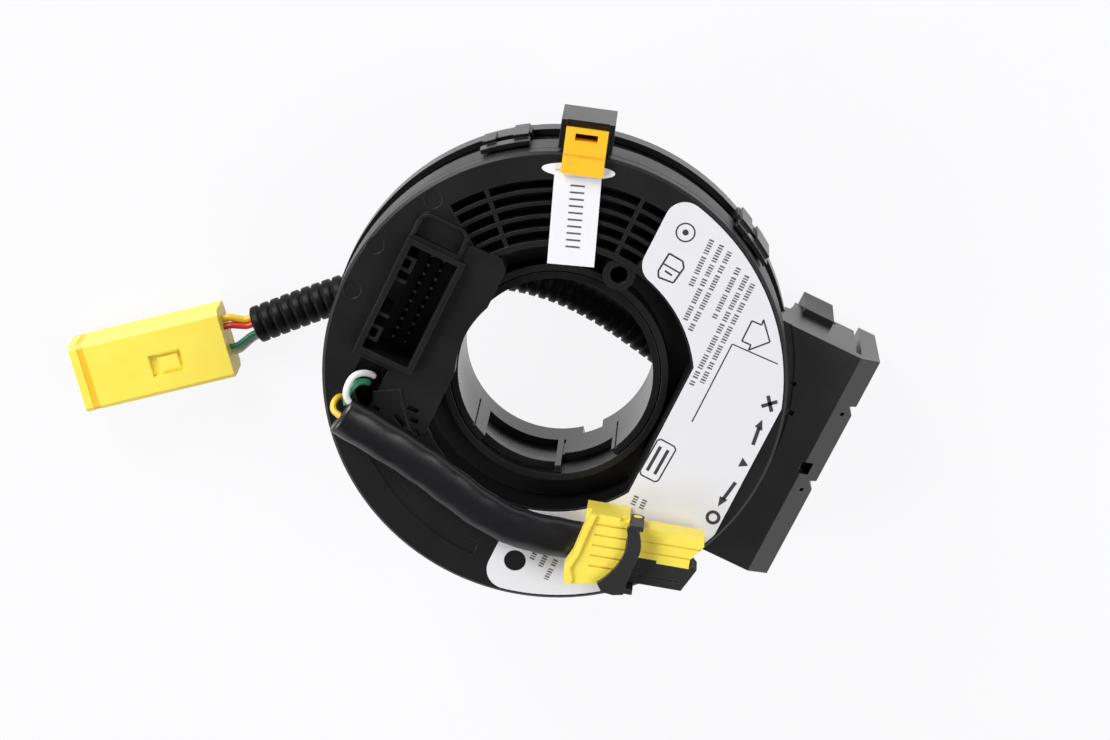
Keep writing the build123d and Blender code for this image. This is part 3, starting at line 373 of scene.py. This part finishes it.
def film(name, colour, roughness):
    """Printed sticker film or paper: near-flat white with faint fibre and sheen."""
    finish = Finish(name, Coat_Roughness=0.3)
    fibre = finish.noise(FIBRE_SIZE, 4, 0.7)
    waves = finish.noise(WAVE_SIZE, 2)
    share = (waves * 0.6 + fibre * 0.4).clamp()
    finish.set(Base_Color=finish.blend(share, shaded(colour, 0.95), shaded(colour, 1.03)))
    finish.set(Roughness=(fibre * 0.15 + roughness).clamp())
    finish.bump(fibre * 0.4 + waves, 0.08, FILM_DEPTH)
    return finish.material


def ink(name, colour):
    """Thermal print: dense, slightly broken at its edges."""
    finish = Finish(name, Roughness=0.5)
    finish.set(Base_Color=finish.blend(finish.noise(INK_SIZE, 3), colour, shaded(colour, 1.8)))
    return finish.material


def plated(name, colour, roughness, tip=None):
    """Plated metal with fine drawn lines. Below the tip's height it turns much darker: painted
    shade down in the socket.
    """
    finish = Finish(name, Metallic=1.0)
    lines = finish.noise(DRAWN_SIZE, 2, 0.5, finish.stretched((1, 1, 0.1)))
    drawn = finish.blend(lines, shaded(colour, 0.8), colour)
    if tip is not None:
        height = finish.node("ShaderNodeSeparateXYZ", {}, {"Vector": finish.place}, "Z")
        # Painted shade: below the pin tips the colour drops to 12 per cent, as the pins sink into
        # the shade of the socket.
        clear_of_painted_shade = ((height - (tip - TIP_START)) / TIP_FADE).clamp()
        drawn = finish.blend(clear_of_painted_shade, shaded(colour, 0.12), drawn)
    finish.set(Base_Color=drawn)
    finish.set(Roughness=(lines * 0.2 + roughness).clamp())
    return finish.material


def rubbery(name, colour, roughness, wrinkle, strength):
    """Shrink sleeve or wire insulation: smooth, with soft wrinkles."""
    finish = Finish(name, Coat_Weight=0.15, Coat_Roughness=0.25)
    folds = finish.noise(wrinkle, 3, 0.5, finish.stretched((1, 0.35, 1)))
    fine = finish.noise(SKIN_SIZE, 3)
    finish.set(Base_Color=finish.blend(folds, shaded(colour, 0.8), shaded(colour, 1.3)))
    finish.set(Roughness=(fine * 0.16 + folds * 0.12 + (roughness - 0.12)).clamp())
    finish.bump(folds + fine * 0.12, strength, FOLD_DEPTH)
    return finish.material


def paint(nodes, material):
    """Give CAD nodes a material, in every slot they have."""
    for name in nodes:
        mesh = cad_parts[name].data
        for index in range(max(1, len(mesh.materials))):
            if mesh.materials:
                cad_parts[name].material_slots[index].material = material
            else:
                mesh.materials.append(material)


# ---- Mesh helpers ----
def new_object(name, body, materials, mesh):
    """Put a mesh into the scene as one of the part's pieces."""
    piece = bpy.data.objects.new(name, mesh)
    bpy.context.scene.collection.objects.link(piece)
    for material in materials:
        mesh.materials.append(material)
    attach(piece, body)
    return piece


def mesh_from(name, shape, smooth=False):
    """Turn a bmesh into a mesh with outward faces."""
    bmesh.ops.recalc_face_normals(shape, faces=shape.faces)
    mesh = bpy.data.meshes.new(name)
    shape.to_mesh(mesh)
    shape.free()
    for face in mesh.polygons:
        face.use_smooth = smooth
    return mesh


def route_points(name, points, samples=12):
    """Read evenly spaced points from the NURBS line of a route, in metres."""
    line = bpy.data.curves.new(name, "CURVE")
    line.dimensions = "3D"
    line.resolution_u = samples
    spline = line.splines.new("NURBS")
    spline.points.add(len(points) - 1)
    for target, point in zip(spline.points, points):
        target.co = (*[value * MM for value in point], 1.0)
    spline.use_endpoint_u = True
    spline.order_u = 3
    holder = bpy.data.objects.new(name, line)
    bpy.context.scene.collection.objects.link(holder)
    mesh = bpy.data.meshes.new_from_object(holder)
    found = [vertex.co.copy() for vertex in mesh.vertices]
    bpy.data.objects.remove(holder)
    bpy.data.meshes.remove(mesh)
    return found


def spaced(points, step):
    """Walk along points and give new ones, each a step apart, and the total length."""
    lengths = [0.0]
    for before, after in zip(points, points[1:]):
        lengths.append(lengths[-1] + (after - before).length)
    total = lengths[-1]
    count = max(2, round(total / step))
    result = []
    index = 0
    for number in range(count + 1):
        target = total * number / count
        while index < len(lengths) - 2 and lengths[index + 1] < target:
            index += 1
        share = (target - lengths[index]) / max(1e-9, lengths[index + 1] - lengths[index])
        result.append(points[index].lerp(points[index + 1], share))
    return result, total


def skin(shape, rings):
    """Join rings of vertices into one closed skin with flat ends."""
    sides = len(rings[0])
    for before, after in zip(rings, rings[1:]):
        for corner in range(sides):
            following = (corner + 1) % sides
            shape.faces.new((before[corner], before[following], after[following], after[corner]))
    shape.faces.new(list(reversed(rings[0])))
    shape.faces.new(rings[-1])


def tube(name, points, section, sides):
    """Sweep a section along points. section(share, angle) gives (sideways, upward) offsets."""
    shape = bmesh.new()
    rings = []
    last = len(points) - 1
    for number, point in enumerate(points):
        ahead = (points[min(number + 1, last)] - points[max(number - 1, 0)]).normalized()
        side = ahead.cross(Vector((0, 0, 1))).normalized()
        up = side.cross(ahead).normalized()
        loop = []
        for corner in range(sides):
            across, rise = section(number / last, 2 * math.pi * corner / sides)
            loop.append(shape.verts.new(point + side * across + up * rise))
        rings.append(loop)
    skin(shape, rings)
    return mesh_from(name, shape, smooth=True)


# ---- Routes of the cords and wires, in millimetres ----
# The conduit and the lead follow the CAD's own points
CONDUIT_REST = 4.4
CONDUIT_LEVEL = FLOOR / MM + CONDUIT_REST
CONDUIT_ROUTE = [
    (-3.1, 44.0, CONDUIT_LEVEL), (-7.2, 24.0, CONDUIT_LEVEL), (-11.3, 1.0, CONDUIT_LEVEL),
    (-8.4, -19.0, CONDUIT_LEVEL), (2.6, -37.5, CONDUIT_LEVEL), (16.0, -52.3, CONDUIT_LEVEL),
    (30.7, -65.4, CONDUIT_LEVEL),
]
LEAD_ROUTE = [
    (27.4, -39.7, 31.9), (29.0, -29.3, 30.7), (30.5, -18.9, 29.8), (32.6, -9.4, 29.5),
    (34.3, -1.2, 29.5), (34.65, 6.9, 29.6), (33.16, 14.66, 29.6), (31.0, 21.95, 29.6),
]
# From the wire pocket up and round into the lead's sleeve
POCKET_WIRE_ROUTES = {
    "white": [
        (18.0, -36.8, 25.3), (17.0, -37.1, 27.6), (16.6, -39.5, 30.6), (17.9, -41.2, 32.2),
        (20.2, -41.4, 33.0), (22.9, -40.7, 32.8), (23.84, -39.15, 32.33),
    ],
    "green": [
        (19.9, -37.2, 25.3), (19.2, -37.4, 27.4), (19.2, -39.2, 29.4), (20.7, -40.1, 30.6),
        (23.6, -40.6, 30.6), (25.2, -39.5, 30.7),
    ],
    "yellow": [
        (25.5, -40.5, 25.4), (25.1, -41.0, 26.6), (25.3, -42.0, 27.9), (26.6, -42.3, 28.8),
        (27.8, -41.8, 29.8), (28.1, -40.6, 30.6), (28.2, -39.0, 31.3),
    ],
}


# ---- Prints on the label, in millimetres ----
# Each row of bars, from its start to its end
TEXT_ROWS = [
    ((-44.9, 17.2), (-33.0, 17.7)), ((-44.8, 19.7), (-25.2, 20.1)), ((-44.2, 22.0), (-23.4, 22.2)),
    ((-41.8, 25.4), (-28.5, 25.7)), ((-41.0, 27.9), (-12.5, 28.1)), ((-39.9, 29.9), (-13.7, 30.0)),
    ((16.4, 30.9), (20.2, 31.0)), ((16.4, 28.8), (20.2, 28.9)), ((38.6, 14.1), (41.1, 14.1)),
    ((38.0, 16.6), (42.2, 16.6)), ((38.5, 19.1), (44.8, 19.1)),
]


# Each mark: how it is drawn, and what that method of Print takes
LABEL_MARKS = (
    # Disc in a ring at the corner, and an open book
    ("ring", (-43.8, 11.2), 1.9, 2.25),
    ("ring", (-43.8, 11.2), 0.0, 0.7),
    ("chain", [(-37.9, 10.1), (-37.6, 13.6), (-36.3, 14.5), (-32.2, 13.9), (-31.9, 10.4),
               (-33.2, 9.7)], 0.42, True),
    ("stroke", (-35.2, 10.1), (-34.9, 14.1), 0.38),
    ("stroke", (-33.9, 11.0), (-33.6, 12.9), 0.45),
    # Box near the well, with two bars in it
    ("chain", [(2.4, 27.1), (10.7, 26.8), (11.4, 27.4), (11.5, 30.9), (10.9, 31.5), (2.6, 31.8),
               (2.0, 31.2), (1.8, 27.7)], 0.36, True),
    ("stroke", (3.4, 28.4), (9.9, 28.2), 0.75),
    ("stroke", (3.4, 30.3), (9.9, 30.1), 0.75),
    # Wide arrow and two measuring lines
    ("chain", [(-32.2, 33.5), (-32.3, 35.9), (-33.6, 35.7), (-29.6, 39.3), (-25.8, 35.9),
               (-27.1, 35.8), (-27.0, 33.6)], 0.36, True),
    ("chain", [(-25.8, 43.2), (-25.4, 32.0), (-5.0, 32.1)], 0.3, False),
    # Cross, arrows, pointer and ring along the far edge
    ("stroke", (-18.2, 44.6), (-15.2, 47.0), 0.85),
    ("stroke", (-15.3, 44.4), (-17.9, 47.1), 0.85),
    ("stroke", (-6.3, 46.8), (-10.6, 46.2), 0.85),
    ("patch", [(-10.2, 47.2), (-12.6, 46.0), (-10.4, 45.2)]),
    ("patch", [(-2.6, 46.1), (-0.2, 46.1), (-1.4, 48.1)]),
    ("stroke", (3.4, 47.3), (8.3, 46.6), 0.85),
    ("patch", [(8.0, 47.6), (10.4, 46.3), (7.9, 45.6)]),
    ("ring", (13.2, 46.5), 0.95, 1.7),
)


class Print:
    """Flat ink shapes a hair above a surface."""

    def __init__(self, level):
        self.shape = bmesh.new()
        self.level = level

    def patch(self, outline):
        """A filled outline."""
        vertices = [self.shape.verts.new((x * MM, y * MM, self.level)) for x, y in outline]
        self.shape.faces.new(vertices)

    def stroke(self, start, end, width):
        """A straight line with square ends."""
        along = (Vector(end) - Vector(start)).normalized() * width / 2
        side = Vector((-along.y, along.x))
        low, high = Vector(start), Vector(end)
        self.patch([low - side, high - side, high + side, low + side])

    def chain(self, points, width, closed):
        """Lines from point to point, and back to the first where it is closed."""
        ends = points[1:] + points[:1] if closed else points[1:]
        for start, end in zip(points, ends):
            self.stroke(start, end, width)

    def ring(self, centre, inner, outer, corners=28):
        """The area between two radii."""
        turns = [2 * math.pi * number / corners for number in range(corners + 1)]
        for start, end in zip(turns, turns[1:]):
            self.patch([
                (centre[0] + radius * math.cos(turn), centre[1] + radius * math.sin(turn))
                for radius, turn in ((inner, start), (outer, start), (outer, end), (inner, end))])

    def words(self, start, end, height, seed):
        """Rows of short bars, grouped unevenly, where a line of words would be."""
        start, end = Vector(start), Vector(end)
        length = (end - start).length
        done = 0.0
        number = seed
        while done < length - WORD_END:
            for count in range(2 + round(5 * abs(math.sin(number * 2.3)))):
                bar = BAR_WIDTH + BAR_SPREAD * abs(math.sin(number + count * 1.7))
                if done + bar < length:
                    near, far = done / length, (done + bar) / length
                    self.stroke(start.lerp(end, near), start.lerp(end, far), height)
                done += bar + BAR_GAP
            done += WORD_GAP
            number += 1


def label_lines():
    """Rows of bars where lines of words would be."""
    marks = Print(LABEL_TOP + INK_LIFT * MM)
    for number, (start, end) in enumerate(TEXT_ROWS):
        marks.words(start, end, WORD_HEIGHT, number + 1)
    return mesh_from("label_lines", marks.shape)


def label_print():
    """Generic marks: rings, a cross, arrows, an open book and a box."""
    marks = Print(LABEL_TOP + INK_LIFT * MM)
    for kind, *values in LABEL_MARKS:
        getattr(marks, kind)(*values)
    return mesh_from("label_print", marks.shape)


def tag_place(along, across):
    """A place on the paper tag, in millimetres, from its own two directions."""
    turn = math.radians(TAG_ANGLE)
    return (TAG_START[0] + along * math.cos(turn) - across * math.sin(turn),
            TAG_START[1] + along * math.sin(turn) + across * math.cos(turn))


def tag_rise(along):
    """How far the paper lifts off the face toward its free end, in metres."""
    return TAG_CURL * max(0.0, along / TAG_LENGTH) ** 2 * MM


def paper_sheet(shape, rows):
    """Add a closed thin sheet between two edges. Each row is (along, half width)."""
    thickness = TAG_THICKNESS * MM
    rings = []
    for along, half in rows:
        ring = []
        for across, height in ((-half, 0), (half, 0), (half, thickness), (-half, thickness)):
            x, y = tag_place(along, across)
            level = TAG_TOP - thickness + tag_rise(along) + height
            ring.append(shape.verts.new((x * MM, y * MM, level)))
        rings.append(ring)
    skin(shape, rings)


def paper_tag():
    """A strip and a pointed wing across its held end."""
    shape = bmesh.new()
    strip = [(TAG_LENGTH * row / TAG_ROWS, TAG_WIDTH / 2) for row in range(TAG_ROWS + 1)]
    paper_sheet(shape, strip)
    open_share = 1 - 2 * TAG_WING_TIP
    wing = []
    for row in range(TAG_WING_ROWS + 1):
        turn = math.pi * (TAG_WING_TIP + open_share * row / TAG_WING_ROWS)
        wing.append((-TAG_WING / 2 * math.cos(turn), TAG_WING_LENGTH / 2 * math.sin(turn)))
    paper_sheet(shape, wing)
    return mesh_from("paper_tag", shape)


def tag_print():
    """Plain bars along the tag."""
    marks = Print(TAG_TOP)
    for row in range(TAG_BAR_COUNT):
        along = TAG_BAR_START + TAG_BAR_STEP * row
        marks.level = TAG_TOP + tag_rise(along) + TAG_INK_LIFT * MM
        start = tag_place(along, TAG_BAR_SHIFT - TAG_BAR_HALF)
        end = tag_place(along, TAG_BAR_SHIFT + TAG_BAR_HALF)
        marks.stroke(start, end, TAG_BAR_WIDTH)
    return mesh_from("tag_print", marks.shape)


# ---- Operators ----
class CLOCK_OT_stage(bpy.types.Operator):
    """Camera, floor, backdrop and lamps"""
    bl_idname = "clock.stage"
    bl_label = "Stage"

    def execute(self, context):
        settings = context.scene.clock_stage
        camera_data = bpy.data.cameras.new("camera")
        camera_data.sensor_width = SENSOR_WIDTH
        camera_data.lens = settings.focal_pixels / IMAGE_WIDTH * camera_data.sensor_width
        camera_data.clip_start = CLIP_START
        camera_data.clip_end = CLIP_END
        camera = bpy.data.objects.new("camera", camera_data)
        context.scene.collection.objects.link(camera)
        tilt = Matrix.Rotation(math.radians(settings.tilt), 4, "X")
        lean = Matrix.Rotation(math.radians(settings.lean), 4, "Y")
        turn = tilt @ lean @ Matrix.Rotation(math.radians(settings.spin - 90), 4, "Z")
        move = Matrix.Translation((settings.shift_x, settings.shift_y, -settings.distance))
        camera.matrix_world = (move @ turn @ Matrix.Translation((0, 0, -FACE))).inverted()
        context.scene.camera = camera
        self.floor(context, settings)
        self.world(context, settings)
        self.lamps(context, settings)
        context.scene.view_settings.view_transform = "Standard"
        return {"FINISHED"}

    def floor(self, context, settings):
        """A pale floor that turns up into a low round wall. It shows plain where it is seen."""
        shape = bmesh.new()
        rings = []
        for radius, height in SWEEP:
            turns = [2 * math.pi * number / SWEEP_SIDES for number in range(SWEEP_SIDES)]
            rings.append([
                shape.verts.new((radius * math.cos(turn), radius * math.sin(turn), height))
                for turn in turns])
        shape.faces.new(rings[0])
        for below, above in zip(rings, rings[1:]):
            for number in range(SWEEP_SIDES):
                after = (number + 1) % SWEEP_SIDES
                shape.faces.new((below[number], below[after], above[after], above[number]))
        mesh = mesh_from("floor", shape)
        ground = bpy.data.objects.new("floor", mesh)
        ground.location = (0, 0, FLOOR - FLOOR_DROP)
        context.scene.collection.objects.link(ground)
        finish = Finish("pale_floor", Roughness=0.75, Specular_IOR_Level=0.2)
        finish.set(Base_Color=(*settings.floor_colour, 1.0))
        plain = ("Is Camera Ray", "Is Glossy Ray", "Is Transmission Ray")
        camera, gloss, glass = [finish.node("ShaderNodeLightPath", {}, {}, ray) for ray in plain]
        seen = (camera + gloss + glass).clamp() * FLOOR_GLOW_SHARE
        values = {"Color": FLOOR_GLOW, "Strength": FLOOR_GLOW_STRENGTH}
        glow = finish.node("ShaderNodeEmission", {}, values)
        own = Signal(finish, finish.shader.outputs[0])
        mixed = finish.node("ShaderNodeMixShader", {}, {0: seen, 1: own, 2: glow})
        finish.tree.links.new(mixed.socket, finish.output.inputs["Surface"])
        mesh.materials.append(finish.material)

    def world(self, context, settings):
        """Even light from all round."""
        world = bpy.data.worlds.new("studio")
        world.use_nodes = True
        tree = world.node_tree
        tree.nodes.clear()
        output = tree.nodes.new("ShaderNodeOutputWorld")
        around = tree.nodes.new("ShaderNodeBackground")
        around.inputs["Strength"].default_value = settings.ambient
        tree.links.new(around.outputs[0], output.inputs["Surface"])
        context.scene.world = world

    def lamps(self, context, settings):
        """Soft lamps that stand round the camera and aim at the part."""
        camera = context.scene.camera.matrix_world
        centre = Vector(LAMP_AIM)
        for name, place, size, share in LAMPS:
            lamp_data = bpy.data.lights.new(name, "AREA")
            lamp_data.size = size
            lamp_data.energy = settings.key_power * share
            lamp = bpy.data.objects.new(name, lamp_data)
            spot = camera @ Vector(place)
            aim = (spot - centre).to_track_quat("Z", "Y").to_matrix().to_4x4()
            lamp.matrix_world = Matrix.Translation(spot) @ aim
            context.scene.collection.objects.link(lamp)


class CLOCK_OT_plastics(bpy.types.Operator):
    """Finishes of the rigid nodes"""
    bl_idname = "clock.plastics"
    bl_label = "Plastics and metal"

    def execute(self, context):
        settings = context.scene.clock_plastic
        base = tuple(settings.black)
        finishes = (
            (moulded("black_plastic", base, 0.42),
             ["rotor_disc", "harness_socket_a", "harness_socket_b"]),
            # Painted light: the arm and lever take the black made 4.6 times lighter, standing in
            # for the extra light they catch.
            (moulded("black_satin_painted_light", shaded(base, 4.6), 0.36, grain_strength=0.12),
             ["connector_arm", "connector_lever"]),
            (moulded("black_case", base, 0.30, grain_strength=0.15, gloss=0.5),
             ["stator_case", "block_cover", "conduit_gland"]),
            # Painted light: the housing takes the black made 3.8 times lighter, standing in for the
            # light its walls catch.
            (moulded("black_housing_painted_light", shaded(base, 3.8), 0.30, grain_strength=0.15, gloss=0.6),
             ["connector_housing"]),
            (moulded("hub_plastic", tuple(settings.hub), 0.26, grain_strength=0.06, scuffs=0.2,
                     gloss=0.3),
             ["hub_sleeve", "back_cover"]),
            (glossy_plastic("yellow_nylon", tuple(settings.yellow), 0.42, (0.93, 0.70, 0.07)),
             ["connector_block", "connector_nose", "plug_housing"]),
            (glossy_plastic("orange_nylon", tuple(settings.orange), 0.36, (0.95, 0.47, 0.01)),
             ["transport_clip", "plug_retainer"]),
            (film("label_film", tuple(settings.label), 0.35), ["label"]),
            # PIN_TOP sets where the painted shade on the socket pins begins.
            (plated("socket_pin_metal", (0.16, 0.12, 0.09), 0.35, PIN_TOP), ["socket_pins"]),
            (plated("tinned_pins", (0.30, 0.22, 0.16), 0.35),
             ["harness_pins_a", "harness_pins_b", "plug_pins"]),
            (plated("zinc_screws", (0.6, 0.6, 0.62), 0.3), ["cover_screws"]),
            (glossy_plastic("ribbon_film", (0.45, 0.28, 0.1), 0.3, (0.3, 0.18, 0.07)),
             ["flat_cable"]),
        )
        for material, nodes in finishes:
            paint(nodes, material)
        return {"FINISHED"}


class CLOCK_OT_tag(bpy.types.Operator):
    """Paper tag held under the transport clip"""
    bl_idname = "clock.tag"
    bl_label = "Paper tag"

    def execute(self, context):
        settings = context.scene.clock_plastic
        paper = film("tag_paper", shaded(settings.label, 1.08), 0.6)
        piece = new_object("paper_tag", "rotor", [paper], paper_tag())
        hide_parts("tag")
        return {"FINISHED"}


class CLOCK_OT_prints(bpy.types.Operator):
    """Marks printed on the label and the tag"""
    bl_idname = "clock.prints"
    bl_label = "Prints"

    def execute(self, context):
        settings = context.scene.clock_plastic
        black_ink = ink("label_ink", tuple(settings.ink))
        text_ink = ink("text_ink", shaded(settings.ink, 3.0))
        grey_ink = ink("tag_ink", shaded(settings.ink, 2.5))
        new_object("label_print", "rotor", [black_ink], label_print())
        new_object("label_lines", "rotor", [text_ink], label_lines())
        new_object("tag_print", "rotor", [grey_ink], tag_print())
        return {"FINISHED"}


class CLOCK_OT_conduit(bpy.types.Operator):
    """Corrugated conduit from the gland to the pigtail"""
    bl_idname = "clock.conduit"
    bl_label = "Conduit"

    def execute(self, context):
        settings = context.scene.clock_cable
        radius = settings.conduit_diameter / 2
        line = route_points("conduit_line", CONDUIT_ROUTE)
        points, length = spaced(line, settings.conduit_pitch / STEPS_PER_RIDGE)
        ridges = length / settings.conduit_pitch

        def section(share, angle):
            phase = (share * ridges) % 1.0
            wave = RIDGE_SLOPE * math.cos(math.pi * (2 * phase - 1)) + RIDGE_LIFT
            crest = min(1.0, max(0.0, wave))
            reach = radius - settings.conduit_depth * (1 - crest)
            return reach * math.cos(angle), reach * math.sin(angle)

        mesh = tube("conduit_ridged", points, section, CONDUIT_SIDES)
        black = moulded(
            "conduit_nylon", (0.0035, 0.0033, 0.0036), 0.45, grain_strength=0.08, gloss=0.14)
        piece = new_object("conduit_ridged", "stator", [black], mesh)
        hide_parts("conduit")
        return {"FINISHED"}


class CLOCK_OT_wires(bpy.types.Operator):
    """Insulation of the pigtail wires, and the three wires that rise from the pocket"""
    bl_idname = "clock.wires"
    bl_label = "Wires"

    def execute(self, context):
        settings = context.scene.clock_cable
        colours = {
            "yellow": (0.92, 0.52, 0.03), "red": (0.62, 0.03, 0.02), "black": (0.02, 0.02, 0.02),
            "green": (0.02, 0.22, 0.11), "white": (0.80, 0.80, 0.76)}
        radius = settings.wire_diameter / 2

        def section(share, angle):
            return radius * math.cos(angle), radius * math.sin(angle)

        for name, colour in colours.items():
            insulation = rubbery("insulation_" + name, colour, 0.35, 0.003, 0.08)
            paint(["wire_" + name], insulation)
            if name not in POCKET_WIRE_ROUTES:
                continue
            line = route_points("pocket_line_" + name, POCKET_WIRE_ROUTES[name])
            points = spaced(line, radius / 2)[0]
            mesh = tube("pocket_wire_" + name, points, section, WIRE_SIDES)
            piece = new_object("pocket_wire_" + name, "rotor", [insulation], mesh)
            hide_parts("lead_wire_" + name)
        return {"FINISHED"}


class CLOCK_OT_lead(bpy.types.Operator):
    """Airbag lead in its flattened shrink sleeve"""
    bl_idname = "clock.lead"
    bl_label = "Airbag lead"

    def execute(self, context):
        settings = context.scene.clock_cable
        line = route_points("lead_line", LEAD_ROUTE)
        points, length = spaced(line, LEAD_STEP)
        half_width = settings.lead_width / 2
        half_height = settings.lead_height / 2

        def section(share, angle):
            wrinkle = 0.035 * abs(math.sin(share * 23 + 2.0 * math.cos(angle)))
            twist = 0.02 * math.sin(3 * angle + 7 * share)
            ripple = 1 - wrinkle - twist
            across = half_width * math.copysign(abs(math.cos(angle)) ** 0.85, math.cos(angle))
            rise = half_height * math.copysign(abs(math.sin(angle)) ** 0.95, math.sin(angle))
            return across * ripple, rise * ripple

        mesh = tube("lead_sleeve", points, section, LEAD_SIDES)
        sleeve = rubbery("shrink_sleeve", (0.006, 0.006, 0.0075), 0.30, 0.004, 0.25)
        piece = new_object("lead_sleeve", "rotor", [sleeve], mesh)
        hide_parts("airbag_lead")
        return {"FINISHED"}


class CLOCK_PT_panel(bpy.types.Panel):
    """Settings and steps of the clock spring"""
    bl_label = "Clock spring"
    bl_idname = "CLOCK_PT_panel"
    bl_space_type = "VIEW_3D"
    bl_region_type = "UI"
    bl_category = "Clock spring"

    def draw(self, context):
        layout = self.layout
        for group in ("clock_stage", "clock_plastic", "clock_cable"):
            settings = getattr(context.scene, group)
            box = layout.box()
            for name in settings.__annotations__:
                box.prop(settings, name)
        for step in STEPS:
            layout.operator(step.bl_idname)


STEPS = (
    CLOCK_OT_stage, CLOCK_OT_conduit, CLOCK_OT_wires, CLOCK_OT_lead, CLOCK_OT_plastics,
    CLOCK_OT_tag, CLOCK_OT_prints)
GROUPS = {
    "clock_stage": StageSettings, "clock_plastic": PlasticSettings, "clock_cable": CableSettings}


def register():
    for group in GROUPS.values():
        bpy.utils.register_class(group)
    for name, group in GROUPS.items():
        setattr(bpy.types.Scene, name, PointerProperty(type=group))
    for step in STEPS:
        bpy.utils.register_class(step)
    bpy.utils.register_class(CLOCK_PT_panel)


def unregister():
    bpy.utils.unregister_class(CLOCK_PT_panel)
    for step in reversed(STEPS):
        bpy.utils.unregister_class(step)
    for name, group in GROUPS.items():
        delattr(bpy.types.Scene, name)
        bpy.utils.unregister_class(group)


def main():
    register()
    for step in STEPS:
        getattr(bpy.ops.clock, step.bl_idname.split(".")[1])()


if __name__ == "__main__":
    main()
